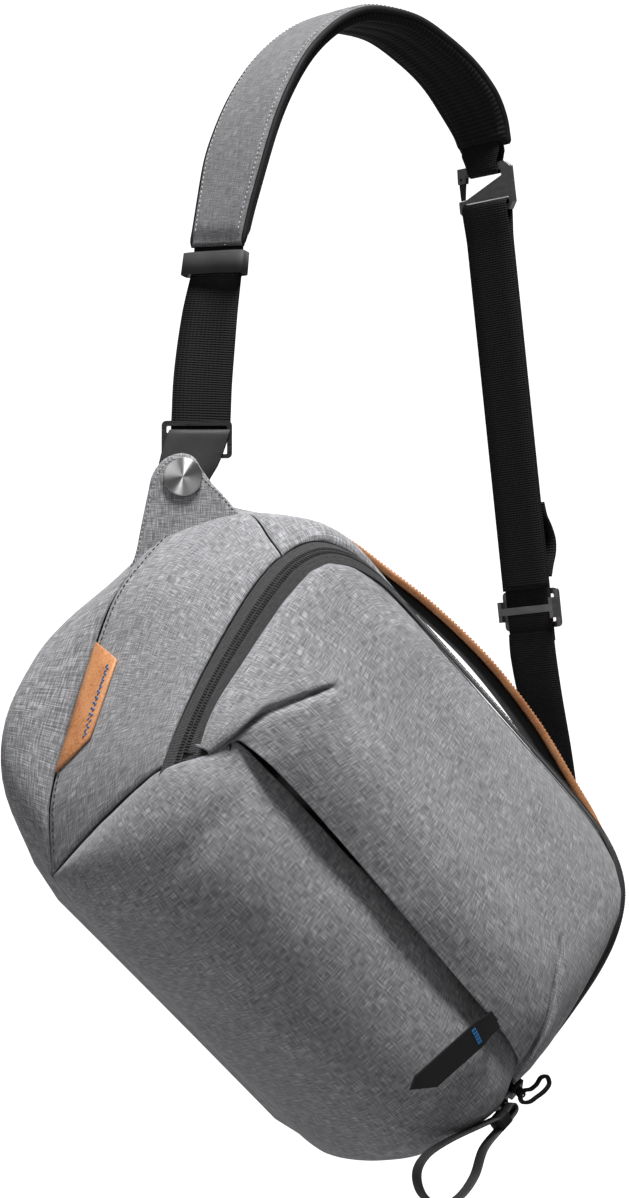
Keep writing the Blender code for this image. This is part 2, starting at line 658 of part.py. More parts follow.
POCKET_PULL = [(-6, 0.7), (6, 0.7), (6.5, -8), (8.0, -16), (7.6, -62), (-3, -80), (-7.6, -72), (-7.6, -16)]
DIVIDER_FOLD = 120.0
DIVIDER_LOW = [(-60, 18.5), (-83, 92), (-85, 117.0), (27, 117.0), (27, 44), (12, 26), (-4, 18.5)]
DIVIDER_HIGH = [(-85, 122.0), (-82, 182), (24, 182), (27, 122.0)]


HANDLE_ROUTE = [(-149, 287), (-142, 292), (-126, 297.5), (-96, 302.5), (-55, 306), (0, 307.5), (55, 306),
                (96, 302.5), (126, 297.5), (142, 292), (149, 287)]
HANDLE_V = -56.0


def handle_bar(name, low, high, width, mat, start, end):
    last = len(HANDLE_ROUTE) - 1
    rings = []
    for k in range(33):
        t = last * lerp(start, end, k / 32)
        here = spline(HANDLE_ROUTE, t)
        a = spline(HANDLE_ROUTE, max(0, t - 0.05))
        b = spline(HANDLE_ROUTE, min(last, t + 0.05))
        along = (b - a).normalized()
        out = Vector((-along.y, along.x))
        inner = here + out * low
        outer = here + out * high
        rings.append([(inner.x, HANDLE_V - width / 2, inner.y), (outer.x, HANDLE_V - width / 2, outer.y),
                      (outer.x, HANDLE_V + width / 2, outer.y), (inner.x, HANDLE_V + width / 2, inner.y)])
    return loft(name, rings, mat, BAG_FRAME)


def build_handle():
    handle_bar("grab_handle_leather", -7.0, 0.0, 30, LEATHER, 0.0, 1.0)
    handle_bar("grab_handle_pad", -13.0, -7.4, 26, WEBBING, 0.16, 0.84)


def build_tag():
    """Leather tag sewn flat on the left end panel beside the back seam."""
    corners = [(-3, 60), (-3, 100), (-3, 141), (-26, 141), (-24, 100), (-21, 80), (-14, 68)]
    rings = []
    for lift in (0.4, 1.8):
        ring = []
        for v, w in corners:
            t = table([(44, 1), (85, 2), (140, 3), (175, 4)], w)
            ring.append((-(half_outline(v, t).x + lift + 0.6), v, half_outline(v, t).y))
        rings.append(ring)
    loft("leather_tag", rings, LEATHER, BAG_FRAME)


def right_zip_frame(t):
    """Matrix on the right stretch of the main zip: x across it, y up along it, z out of it."""
    here = zip_point(t, 0.5)
    along = (zip_point(SLIDE_TOP, 0.5) - zip_point(SLIDE_LOW, 0.5)).normalized()
    across = (zip_point(t, 0.0) - zip_point(t, 1.0)).normalized()
    out = across.cross(along).normalized()
    if out.y > 0:
        out = -out
    return basis(along.cross(out), along, out, here)


def band_loop(name, points, depth, width, thickness, mat, pivot):
    """A flat tape sewn into a closed loop: points (x, z) round it, at a depth y."""
    count = 30
    last = len(points)
    closed = [points[-1]] + list(points) + list(points[:2])
    rings = []
    for k in range(count):
        t = 1 + last * k / count
        here = spline(closed, t)
        along = (spline(closed, t + 0.05) - spline(closed, t - 0.05)).normalized()
        out = Vector((along.y, 0, -along.x)) * thickness / 2
        side = Vector((0, width / 2, 0))
        middle = Vector((here.x, depth, here.y))
        rings.append([middle + out + side, middle + out - side, middle - out - side, middle - out + side])
    bm, verts = grid_mesh(rings + rings[:1], wrap=True)
    bmesh.ops.remove_doubles(bm, verts=bm.verts, dist=0.001)
    bmesh.ops.recalc_face_normals(bm, faces=bm.faces)
    return place(name, mesh_from(bm, name), mat, None, pivot)


def build_main_sliders():
    """Two sliders parked at the low right end of the main zip, each with a sewn loop to pull it by."""
    for name, t in SLIDERS:
        frame = right_zip_frame(t)
        at = frame @ Matrix.Translation((0, 0, 4.6))
        slider = box("main_slider_" + name, (9.5, 12.5, 4.2), at, STEEL, BAG_FRAME, bevel=0.9,
                     pivot=at.translation)
        bail = frame @ Matrix.Translation((0, 0, 7.2))
        join(slider, box("slider_bail_" + name, (1.6, 6.0, 2.4), bail, None, BAG_FRAME))
        eye = frame @ Matrix.Translation((0, -1.0, EYE_LIFT))
        pivot = BAG_FRAME @ (eye.translation * MM) / MM
        shape = PULL_LOOPS[name]
        points = [(pivot.x + x, pivot.z + z) for x, z in shape["points"]]
        depth = pivot.y - shape["width"] / 2
        band_loop("main_pull_" + name, points, depth, shape["width"], shape["thickness"], shape["mat"], pivot)


def build_pocket_pull():
    u, v, w = POCKET_SLIDER
    box("pocket_slider", (8.0, 5.4, 2.6), (u, v, w), STEEL, BAG_FRAME, bevel=0.6, pivot=POCKET_SLIDER)
    lean = Matrix.Rotation(POCKET_PULL_LEAN, 4, "Y")
    at = Matrix.Translation((u, v - 4.4, w - 2.0)) @ lean @ Matrix.Rotation(math.radians(90), 4, "X")
    plate("pocket_pull", [POCKET_PULL], 1.8, at, HYPALON, BAG_FRAME, pivot=at.translation)


def build_dividers():
    for name, u in (("left", -46.0), ("right", 46.0)):
        upright = basis((0, 1, 0), (0, 0, 1), (1, 0, 0), (u, 0, 0))
        plate("divider_" + name, [DIVIDER_LOW], 6.0, upright, DIVIDER, BAG_FRAME)
        pivot = (u, 0, DIVIDER_FOLD)
        plate("divider_" + name + "_flap", [DIVIDER_HIGH], 5.0, upright, DIVIDER, BAG_FRAME, pivot=pivot)


def main():
    for name, side in (("left_end_panel", -1), ("right_end_panel", 1)):
        build_end_panel(name, side)
    build_top_panel()
    build_back_panel()
    build_pocket()
    build_lid()
    build_zips()
    build_pad()
    build_left_strap()
    build_right_strap()
    build_hook()
    build_end_loop()
    build_adjuster()
    for side in (-1, 1):
        build_anchor(side)
    build_handle()
    build_tag()
    build_main_sliders()
    build_pocket_pull()
    build_dividers()


main()
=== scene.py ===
"""Sling camera bag hanging by its strap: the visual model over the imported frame.

Lengths in the tables are millimetres, and MM turns them into metres. The bag's own frame (u across,
v towards the back, w up, bag front at negative v) is turned about world Y by TILT.
"""
import math

import bmesh
import bpy
from mathutils import Matrix, Vector, noise


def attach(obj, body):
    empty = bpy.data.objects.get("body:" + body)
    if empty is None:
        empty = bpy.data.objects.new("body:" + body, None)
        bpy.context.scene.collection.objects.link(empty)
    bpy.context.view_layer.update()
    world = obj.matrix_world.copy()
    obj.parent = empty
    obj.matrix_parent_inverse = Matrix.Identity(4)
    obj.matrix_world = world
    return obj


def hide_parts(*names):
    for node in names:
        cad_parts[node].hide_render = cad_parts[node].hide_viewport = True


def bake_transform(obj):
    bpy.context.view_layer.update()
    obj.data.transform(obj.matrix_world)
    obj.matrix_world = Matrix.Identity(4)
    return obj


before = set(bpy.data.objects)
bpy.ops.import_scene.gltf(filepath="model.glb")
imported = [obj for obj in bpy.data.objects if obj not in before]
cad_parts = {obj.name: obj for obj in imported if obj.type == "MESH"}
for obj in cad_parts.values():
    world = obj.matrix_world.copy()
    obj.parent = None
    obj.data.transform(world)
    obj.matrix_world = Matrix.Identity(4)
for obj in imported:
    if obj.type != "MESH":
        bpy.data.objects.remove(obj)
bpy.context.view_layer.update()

MM = 0.001
TILT = math.radians(39.7)
BAG_ORIGIN = Vector((-140, 10, -667)) * MM
BAG = Matrix.Translation(BAG_ORIGIN) @ Matrix.Rotation(TILT, 4, "Y")
WORLD = Matrix()
SIDES = ((-1, "left"), (1, "right"))

# ---------------------------------------------------------------- camera, light and floor

CAMERA_YAW, CAMERA_PITCH = math.radians(37.87), math.radians(-5.27)
CAMERA_DISTANCE = 2.2134
CAMERA_TARGET = Vector((-0.066, -0.030, -0.392))
CAMERA_LENS, CAMERA_SENSOR = 103.68, 36.0
LIGHTS = (("key_light", (-0.30, -1.0, 1.9), 0.9, 116), ("fill_light", (-2.0, -1.0, 0.5), 1.2, 8),
          ("rim_light", (1.3, 1.1, 0.6), 1.0, 16))   # place, size and power
WORLD_LIGHT = 0.10
STAGE_REACH, FLOOR_Z = 9.0, -2.4


def set_camera():
    level = math.cos(CAMERA_PITCH)
    back = Vector((-math.sin(CAMERA_YAW) * level, -math.cos(CAMERA_YAW) * level, math.sin(CAMERA_PITCH)))
    data = bpy.data.cameras.new("camera")
    data.lens = CAMERA_LENS
    data.sensor_width = CAMERA_SENSOR
    camera = bpy.data.objects.new("camera", data)
    camera.location = CAMERA_TARGET + back * CAMERA_DISTANCE
    camera.rotation_euler = back.to_track_quat("Z", "Y").to_euler()
    bpy.context.scene.collection.objects.link(camera)
    bpy.context.scene.camera = camera


def area_light(name, place, size, power):
    data = bpy.data.lights.new(name, "AREA")
    data.shape = "DISK"
    data.size = size
    data.energy = power
    light = bpy.data.objects.new(name, data)
    light.location = place
    light.rotation_euler = (Vector(place) - CAMERA_TARGET).to_track_quat("Z", "Y").to_euler()
    bpy.context.scene.collection.objects.link(light)


# ---------------------------------------------------------------- curves and outlines

FRONT_V, SEAM_V, REAR_V, BACK_V = -92.0, 0.0, 26.0, 42.0
FRONT_HALF = [(163, 60), (172, 92), (179, 130), (183.5, 170), (185, 205), (181, 232), (168, 256),
              (142, 270), (100, 274.5), (0, 275)]
ZIP_LID_HALF = [(151, 74), (161, 97), (168, 130), (170.5, 170), (170.5, 205), (167.5, 232), (155, 252),
                (132, 264), (98, 268.5), (0, 269)]
SEAM_HALF = [(140, 10), (170, 44), (187, 85), (207, 140), (217, 175), (217, 205), (213, 236),
             (204, 264), (180, 275), (0, 277)]
REAR_HALF = [(140, 20), (188, 42), (214, 74), (223, 118), (221, 152), (212, 192), (205, 225),
             (193, 250), (165, 266), (0, 268)]
TOP_CENTRE = 9.0                             # parameter of the half outlines at the top's middle
MIDDLE = Vector((0, 140))
INSIDE = Vector((0, -30, 140))
SWELL = [(0, 1), (2, 4), (5, 5), (6.5, 8), (8, 3), (9, 1)]
LID_HALF = [(100, 162), (112, 166), (130, 169), (170, 170.5), (205, 170.5), (232, 167), (246, 160),
            (258, 145), (267, 117)]
LID_EDGE_V = -104.5
LID_BULGE = [(100, 18.5), (112, 24), (124, 28), (136, 30.5), (150, 31), (164, 29.5), (180, 26), (200, 21),
             (220, 16), (240, 10.5), (255, 6.5), (267, 2)]
ZIP_START, ZIP_LID_START = 0.06, 0.66
FLAP_TOP, FLAP_LIP = 176.0, 7.0
POCKET_SECTION = [(-116, 111), (-120, 94), (-122, 72), (-115, 38), (-95, 11), (-62, 0.5), (-25, -1),
                  (-1.5, 5.5)]
STRAP_W = 38.0
PAD_W, PAD_END_W = 50.0, 40.0
LEFT_ROUTE = [(-135.2, -291, 142.5), (-134.5, -277, 142), (-133, -250, 138), (-128, -210, 124),
              (-122, -178, 112), (-120.5, -158, 109)]   # x, z and the width's heading in degrees
PAD_ROUTE = [(-122, -165, 110), (-114, -131, 106), (-104, -96, 104), (-89, -62, 102), (-69, -32, 99),
             (-45, -10, 96), (-22, 2, 95), (0, 5, 95), (25, 3, 96), (50, -7, 97), (72, -20, 98),
             (89, -36, 99), (101, -53, 100), (107, -70, 101)]
RIGHT_TOP, RIGHT_LOW = (108.5, -119, 102), (145, -398, 102)
# Slack tail: place along the right run, and how far it stands off it.
TAIL = [(0.875, 4.0), (0.85, 6.5), (0.82, 10.0), (0.79, 11.0), (0.76, 9.0), (0.73, 5.5), (0.70, 4.0)]
LOWER_ROUTE = [(145.4, -401, 102), (147.5, -418, 103), (154, -446, 99), (165, -478, 86), (178, -512, 66),
               (190, -543, 50)]
RIGHT_HEADING = 46.4
STRAP_END = 38.5
LEFT_ANCHOR, RIGHT_ANCHOR = Vector((-230, -10, 264)), Vector((226, -5, 286))
HANDLE_ROUTE = [(-146, 287), (-139, 292), (-122, 299), (-94, 306), (-55, 313), (0, 317.5), (55, 314.5),
                (96, 307), (126, 299.5), (142, 292), (149, 287)]
HANDLE_V = -56.0
HANDLE_LEAN = math.radians(24)               # the handle droops to the front between its sewn ends
WALL = 5.0


def lerp(a, b, t):
    return a + (b - a) * t


def ease(t):
    t = min(1.0, max(0.0, t))
    return t * t * (3 - 2 * t)


def table(rows, x):
    """Read a table of (x, y) rows, with straight lines between the rows."""
    if x <= rows[0][0]:
        return rows[0][1]
    for (x0, y0), (x1, y1) in zip(rows, rows[1:]):
        if x <= x1:
            return lerp(y0, y1, (x - x0) / (x1 - x0))
    return rows[-1][1]


def spline(points, t):
    """Point at t (0 to len - 1) on a Catmull-Rom curve through the points."""
    last = len(points) - 1
    i = max(0, min(math.floor(t), last - 1))
    f = t - i
    ends = [2 * Vector(points[0]) - Vector(points[1]), 2 * Vector(points[-1]) - Vector(points[-2])]
    p = [Vector(points[i + k]) if 0 <= i + k <= last else ends[k > 0] for k in (-1, 0, 1, 2)]
    a = 2 * p[1]
    b = p[2] - p[0]
    c = 2 * p[0] - 5 * p[1] + 4 * p[2] - p[3]
    d = 3 * p[1] - p[0] - 3 * p[2] + p[3]
    return 0.5 * (a + b * f + c * f * f + d * f ** 3)


def spread(count):
    """Numbers from 0 to 1, closer together near both ends, where seams need small faces."""
    steps = [k / (count - 1) for k in range(count)]
    return [lerp(s, 0.5 - 0.5 * math.cos(math.pi * s), 0.7) for s in steps]


def spread_across(count):
    """The same from -1 to 1."""
    return [2 * s - 1 for s in spread(count)]


# ---------------------------------------------------------------- materials

def new_material(name, roughness=0.8, metallic=0.0):
    mat = bpy.data.materials.new(name)
    mat.use_nodes = True
    bsdf = mat.node_tree.nodes["Principled BSDF"]
    bsdf.inputs["Roughness"].default_value = roughness
    bsdf.inputs["Metallic"].default_value = metallic
    return mat, bsdf


def add(mat, kind, settings=None, **inputs):
    """Add a shader node. An input is a number, a vector or another node's output."""
    node = mat.node_tree.nodes.new(kind)
    for key, value in (settings or {}).items():
        setattr(node, key, value)
    for key, value in inputs.items():
        socket = node.inputs[int(key[1:])] if key[1:].isdigit() else node.inputs[key.replace("_", " ")]
        if isinstance(value, bpy.types.NodeSocket):
            mat.node_tree.links.new(value, socket)
        else:
            socket.default_value = value
    return node


def link(mat, output, socket):
    mat.node_tree.links.new(output, socket)


def paint(mat, factor, stops, target="Base Color"):
    """Colour one input of the material's surface through a ramp."""
    link(mat, ramp(mat, factor, stops), mat.node_tree.nodes["Principled BSDF"].inputs[target])


def noise_at(mat, coords, scale, detail):
    """Noise whose scale is one number, or three for the axes."""
    scale = scale if isinstance(scale, tuple) else (scale,) * 3
    vector = add(mat, "ShaderNodeMapping", Vector=coords, Scale=scale).outputs["Vector"]
    return add(mat, "ShaderNodeTexNoise", Vector=vector, Scale=1.0, Detail=detail).outputs[0]


def math_node(mat, operation, a, b):
    return add(mat, "ShaderNodeMath", {"operation": operation}, i0=a, i1=b).outputs[0]


def ramp(mat, factor, stops):
    node = add(mat, "ShaderNodeValToRGB", Fac=factor)
    band = node.color_ramp
    while len(band.elements) < len(stops):
        band.elements.new(0.5)
    for element, (at, color) in zip(band.elements, stops):
        element.position = at
        element.color = (*color, 1.0)
    return node.outputs["Color"]


def mix_color(mat, blend, factor, a, b):
    node = add(mat, "ShaderNodeMix", {"data_type": "RGBA", "blend_type": blend})
    for socket, value in ((node.inputs[0], factor), (node.inputs[6], a), (node.inputs[7], b)):
        if isinstance(value, bpy.types.NodeSocket):
            link(mat, value, socket)
        else:
            socket.default_value = value
    return node.outputs[2]


def bump(mat, bsdf, height, distance, strength=1.0):
    node = add(mat, "ShaderNodeBump", Height=height, Distance=distance, Strength=strength)
    link(mat, node.outputs["Normal"], bsdf.inputs["Normal"])


def cloth_coords(mat, from_uv=False):
    return add(mat, "ShaderNodeTexCoord").outputs["UV" if from_uv else "Object"]


def grey(value):
    return (value, value, value * 1.02)


def shades(color, *stops):
    """Stops of a ramp, from the place of each and what the colour is multiplied by there."""
    return [(at, tuple(c * factor for c in color)) for at, factor in stops]


def heather(name, dark, middle, light, from_uv=True):
    """Woven two-tone yarn: short pale and dark streaks along both thread directions."""
    mat, bsdf = new_material(name, 0.92)
    coords = cloth_coords(mat, from_uv)
    warp = noise_at(mat, coords, (1700, 120, 120), 1)
    weft = noise_at(mat, coords, (120, 1700, 1700), 1)
    grain = noise_at(mat, coords, 1700, 1)
    cloud = noise_at(mat, coords, 22, 2)
    threads = math_node(mat, "MULTIPLY", math_node(mat, "ADD", warp, weft), 0.42)
    yarn = math_node(mat, "ADD", threads, math_node(mat, "MULTIPLY", grain, 0.16))
    color = ramp(mat, yarn, [(0.40, grey(dark)), (0.48, grey(middle * 0.88)), (0.53, grey(middle * 1.14)),
                             (0.62, grey(light))])
    shade = ramp(mat, cloud, [(0.3, grey(0.86)), (0.7, grey(1.0))])
    link(mat, mix_color(mat, "MULTIPLY", 1.0, color, shade), bsdf.inputs["Base Color"])
    weave = noise_at(mat, coords, 2600, 1)
    height = math_node(mat, "ADD", yarn, math_node(mat, "MULTIPLY", weave, 0.5))
    bump(mat, bsdf, height, 0.0006, 0.55)
    bsdf.inputs["Sheen Weight"].default_value = 0.25
    bsdf.inputs["Sheen Roughness"].default_value = 0.5
    return mat


WAVE_LENGTH = 0.314                          # of the wave texture at scale 1


def ribbed(name, color, period, rib=0.45, roughness=0.75):
    """Webbing or mesh: fine ribs across its length, and yarn noise."""
    mat, bsdf = new_material(name, roughness)
    coords = cloth_coords(mat, True)
    across = add(mat, "ShaderNodeTexWave", {"bands_direction": "Y"}, Vector=coords, Scale=WAVE_LENGTH / period,
                 Distortion=0.6, Detail=1.0).outputs["Fac"]
    along = add(mat, "ShaderNodeTexWave", {"bands_direction": "X"}, Vector=coords, Scale=WAVE_LENGTH / (period * 1.6),
                Distortion=0.4, Detail=1.0).outputs["Fac"]
    yarn = noise_at(mat, coords, (900, 300, 900), 3)
    shade = math_node(mat, "MULTIPLY", across, 0.5)
    tone = math_node(mat, "ADD", shade, math_node(mat, "MULTIPLY", yarn, 0.6))
    paint(mat, tone, shades(color, (0.2, 0.55), (0.55, 1), (0.9, 1.9)))
    bump(mat, bsdf, math_node(mat, "ADD", across, math_node(mat, "MULTIPLY", along, rib)), 0.0005, 0.6)
    bsdf.inputs["Specular IOR Level"].default_value = 0.2
    return mat


def coated(name, color, roughness=0.62):
    """Coated cloth: matt, with a fine pebble and slightly scuffed patches."""
    mat, bsdf = new_material(name, roughness)
    coords = cloth_coords(mat)
    pebble = noise_at(mat, coords, 1300, 2)
    scuff = noise_at(mat, coords, 60, 3)
    paint(mat, scuff, shades(color, (0.35, 0.85), (0.7, 1.2)))
    paint(mat, scuff, shades(grey(roughness), (0.3, 0.9), (0.7, 1.1)), "Roughness")
    bump(mat, bsdf, pebble, 0.0003, 0.5)
    bsdf.inputs["Specular IOR Level"].default_value = 0.3
    return mat


def leather_material(name, pale, tan, deep):
    mat, bsdf = new_material(name, 0.5)
    coords = cloth_coords(mat)
    cells = add(mat, "ShaderNodeTexVoronoi", {"feature": "DISTANCE_TO_EDGE"}, Vector=coords, Scale=1100.0)
    patch = noise_at(mat, coords, 45, 4)
    pores = noise_at(mat, coords, 700, 3)
    tone = ramp(mat, math_node(mat, "MULTIPLY", math_node(mat, "ADD", patch, pores), 0.5),
                [(0.36, deep), (0.5, tan), (0.66, pale)])
    link(mat, tone, bsdf.inputs["Base Color"])
    paint(mat, pores, [(0.3, grey(0.42)), (0.7, grey(0.62))], "Roughness")
    bump(mat, bsdf, math_node(mat, "ADD", cells.outputs["Distance"], pores), 0.0003, 0.5)
    return mat


def metal(name, color, roughness):
    mat, bsdf = new_material(name, roughness, 1.0)
    coords = cloth_coords(mat)
    streak = noise_at(mat, coords, (60, 60, 1400), 4)
    wear = noise_at(mat, coords, 120, 3)
    paint(mat, wear, shades(color, (0.3, 0.88), (0.75, 1.1)))
    paint(mat, streak, shades(grey(roughness), (0.3, 0.8), (0.7, 1.25)), "Roughness")
    bump(mat, bsdf, streak, 0.0001, 0.3)
    return mat


def thread(name, color):
    mat, bsdf = new_material(name, 0.7)
    twist = noise_at(mat, cloth_coords(mat), 2500, 2)
    paint(mat, twist, shades(color, (0.3, 0.6), (0.7, 1.2)))
    bump(mat, bsdf, twist, 0.0002, 0.4)
    return mat


def turned_metal():
    """Lathe-turned face: fine concentric grooves that stretch the highlight across the rings."""
    mat, bsdf = new_material("turned_aluminium", 0.34, 1.0)
    coords = add(mat, "ShaderNodeTexCoord").outputs["Object"]
    reach = add(mat, "ShaderNodeVectorMath", {"operation": "LENGTH"}, i0=coords).outputs["Value"]
    rings = add(mat, "ShaderNodeTexNoise", {"noise_dimensions": "1D"}, W=reach, Scale=5200.0,
                Detail=2.0).outputs[0]
    paint(mat, rings, [(0.3, (0.50, 0.50, 0.50)), (0.7, (0.68, 0.68, 0.68))])
    bump(mat, bsdf, rings, 0.00004, 0.3)
    bsdf.inputs["Anisotropic"].default_value = 0.95
    bsdf.inputs["Anisotropic Rotation"].default_value = 0.25
    tangent = add(mat, "ShaderNodeTangent", {"direction_type": "RADIAL", "axis": "Z"}).outputs["Tangent"]
    link(mat, tangent, bsdf.inputs["Tangent"])
    return mat


CLOTH = heather("heather_cloth", 0.13, 0.25, 0.50)
PAD_CLOTH = heather("heather_pad_cloth", 0.10, 0.155, 0.25)
LINING = heather("lining_cloth", 0.12, 0.20, 0.30, False)
FOAM = heather("divider_cloth", 0.07, 0.11, 0.16, False)
WEBBING = ribbed("black_webbing", (0.0045, 0.0045, 0.005), 0.0016)
MESH = ribbed("pad_mesh", (0.008, 0.008, 0.0085), 0.0030, 1.0, 0.85)
ZIP_TAPE = ribbed("zip_tape_cloth", (0.050, 0.050, 0.051), 0.0010)
HYPALON = coated("coated_cloth", (0.040, 0.040, 0.041))
EDGE = coated("black_binding", (0.006, 0.006, 0.0065), 0.7)
TAN = leather_material("tan_leather", (0.72, 0.35, 0.17), (0.62, 0.27, 0.11), (0.42, 0.16, 0.06))
GREY_METAL = metal("grey_anodised", (0.36, 0.36, 0.37), 0.36)
DARK_METAL = metal("dark_plated", (0.085, 0.085, 0.09), 0.32)
DARK_THREAD = thread("dark_thread", (0.05, 0.05, 0.052))
GREY_THREAD = thread("grey_thread", (0.42, 0.42, 0.43))
BLUE_THREAD = thread("blue_thread", (0.03, 0.20, 0.48))
TAN_THREAD = thread("tan_thread", (0.50, 0.24, 0.11))
TURNED = turned_metal()
ZIP_PLAIN = coated("zip_tape_plain", (0.025, 0.025, 0.026), 0.7)


# ---------------------------------------------------------------- meshes

def finish_piece(obj, mat, body, nodes=(), slot=None):
    obj.data.materials.append(mat)
    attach(obj, body)
    if nodes:
        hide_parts(*nodes)
    return obj


def to_object(name, bm, matrix):
    """Link a bmesh, whose lengths are millimetres of the matrix's frame, as an object in metres."""
    mesh = bpy.data.meshes.new(name)
    bm.to_mesh(mesh)
    bm.free()
    mesh.transform(matrix @ Matrix.Scale(MM, 4))
    mesh.shade_smooth()
    obj = bpy.data.objects.new(name, mesh)
    bpy.context.scene.collection.objects.link(obj)
    return obj


def lengths(points):
    total = [0.0]
    for a, b in zip(points, points[1:]):
        total.append(total[-1] + (b - a).length)
    return total


def grid(rows, wrap=False, caps=False, guide=None):
    """A surface through rows of points, with a UV map in metres along and across it."""
    rows = [[Vector(p) for p in row] for row in rows]
    bm = bmesh.new()
    uv = bm.loops.layers.uv.new("UVMap")
    verts = [[bm.verts.new(p) for p in row] for row in rows]
    columns = len(rows[0])
    middle = rows[len(rows) // 2 if guide is None else guide]
    across = lengths(middle + middle[:1])
    along = lengths([row[columns // 2] for row in rows])
    for i in range(len(rows) - 1):
        for k in range(columns if wrap else columns - 1):
            n = (k + 1) % columns
            face = bm.faces.new((verts[i][k], verts[i][n], verts[i + 1][n], verts[i + 1][k]))
            corners = ((across[k], along[i]), (across[k + 1], along[i]), (across[k + 1], along[i + 1]),
                       (across[k], along[i + 1]))
            for loop, (x, y) in zip(face.loops, corners):
                loop[uv].uv = (x * MM, y * MM)
    if caps:
        bm.faces.new(verts[0])
        bm.faces.new(verts[-1])
    return bm


def flat_uv(bm, faces, second=1):
    """Lay the faces' UV map flat on the x axis and a second one, in metres."""
    uv = bm.loops.layers.uv.verify()
    for face in faces:
        for loop in face.loops:
            loop[uv].uv = (loop.vert.co.x * MM, loop.vert.co[second] * MM)


def solid_piece(name, rows, mat, body, nodes=(), slot=None, matrix=WORLD, ring=False, flat=False):
    """A closed piece through rows of points: a ring, or a bar with capped ends."""
    bm = grid(rows + rows[:1] if ring else rows, wrap=True, caps=not ring)
    if ring:
        bmesh.ops.remove_doubles(bm, verts=bm.verts, dist=0.001)
    bmesh.ops.recalc_face_normals(bm, faces=bm.faces)
    if flat:
        flat_uv(bm, bm.faces)
    return finish_piece(to_object(name, bm, matrix), mat, body, nodes, slot)


def circle(count):
    """Unit vectors round a circle, as (cos, sin)."""
    return [(math.cos(2 * math.pi * k / count), math.sin(2 * math.pi * k / count)) for k in range(count)]


def add_rod(bm, rings):
    """Faces between rings of points, and one over each end."""
    rings = [[bm.verts.new(p) for p in ring] for ring in rings]
    for a, b in zip(rings, rings[1:]):
        for k in range(len(a)):
            n = (k + 1) % len(a)
            bm.faces.new((a[k], a[n], b[n], b[k]))
    bm.faces.new(rings[0])
    bm.faces.new(rings[-1])


def normals_of(rows):
    """Outward normal at each grid point of the bag's cloth."""
    result = []
    for i, row in enumerate(rows):
        line = []
        for k, point in enumerate(row):
            du = row[min(k + 1, len(row) - 1)] - row[max(k - 1, 0)]
            dv = rows[min(i + 1, len(rows) - 1)][k] - rows[max(i - 1, 0)][k]
            normal = du.cross(dv).normalized()
            line.append(normal if normal.dot(point - INSIDE) > 0 else -normal)
        result.append(line)
    return result


SEAM_ROLL, SLACK_REACH = 5.0, 30.0           # how far from a seam the cloth rolls in, and stays taut


def soften(rows, sides="NSWE", depth=1.6, ripple=0.7, crease=None):
    """Turn the named edges of a cloth grid in towards their seams, and give the cloth soft ripples.

    N and S are the first and last rows, W and E the first and last columns.
    """
    normals = normals_of(rows)
    columns = list(zip(*rows))
    out = []
    for i, row in enumerate(rows):
        by_row = lengths(row)
        line = []
        for k, point in enumerate(row):
            by_column = lengths(columns[k][:i + 1])[-1]
            total = lengths(columns[k])[-1]
            gaps = {"W": by_row[k], "E": by_row[-1] - by_row[k], "N": by_column, "S": total - by_column}
            edge = min(gaps[side] for side in sides)
            pucker = 1 + 0.35 * noise.noise(point * 0.09)
            roll = depth * pucker * max(0.0, 1 - edge / SEAM_ROLL) ** 2
            slack = ease(edge / SLACK_REACH)
            wave = noise.noise(point * 0.016) + 0.45 * noise.noise(point * 0.045 + Vector((7, 3, 1)))
            rise = ripple * slack * wave - roll
            if crease:
                rise += crease(point)
            line.append(point + normals[i][k] * rise)
        out.append(line)
    return out


def add_wall(obj, thickness):
    wall = obj.modifiers.new("Wall", "SOLIDIFY")
    wall.thickness = thickness * MM
    wall.offset = -1


def cloth_panel(name, rows, thickness, mat, body, nodes, slot="heather_fabric"):
    """A cloth of the bag, with its thickness laid inwards and its faces subdivided."""
    bm = grid(rows)
    bm.normal_update()
    facing = sum(f.calc_area() * f.normal.dot(f.calc_center_median() - INSIDE) for f in bm.faces)
    if facing < 0:
        bmesh.ops.reverse_faces(bm, faces=bm.faces)
    obj = to_object(name, bm, BAG)
    add_wall(obj, thickness)
    smooth = obj.modifiers.new("Smooth", "SUBSURF")
    smooth.levels = smooth.render_levels = 1
    return finish_piece(obj, mat, body, nodes, slot)


def tube_rows(points, normal_at, outline):
    """Sections of a flat or round bar along points: outline points are (side, out) in millimetres."""
    rows = []
    for k, here in enumerate(points):
        ahead = points[min(k + 1, len(points) - 1)]
        behind = points[max(k - 1, 0)]
        along = (ahead - behind).normalized()
        out = normal_at(k)
        out = (out - along * out.dot(along)).normalized()
        side = along.cross(out)
        rows.append([here + side * x + out * y for x, y in outline])
    return rows


def oval(width, height, count=12, power=0.5, lift=0.0):
    """Outline of a flat bar with rounded edges."""
    points = []
    for k in range(count):
        angle = 2 * math.pi * (k + 0.5) / count
        x, y = math.cos(angle), math.sin(angle)
        points.append((math.copysign(abs(x) ** power, x) * width / 2,
                       math.copysign(abs(y) ** power, y) * height / 2 + lift))
    return points


STITCH_SECTIONS = ((-0.5, 0.35, -0.25), (-0.3, 1.0, 0.1), (0.0, 1.15, 0.2), (0.3, 1.0, 0.1), (0.5, 0.35, -0.25))


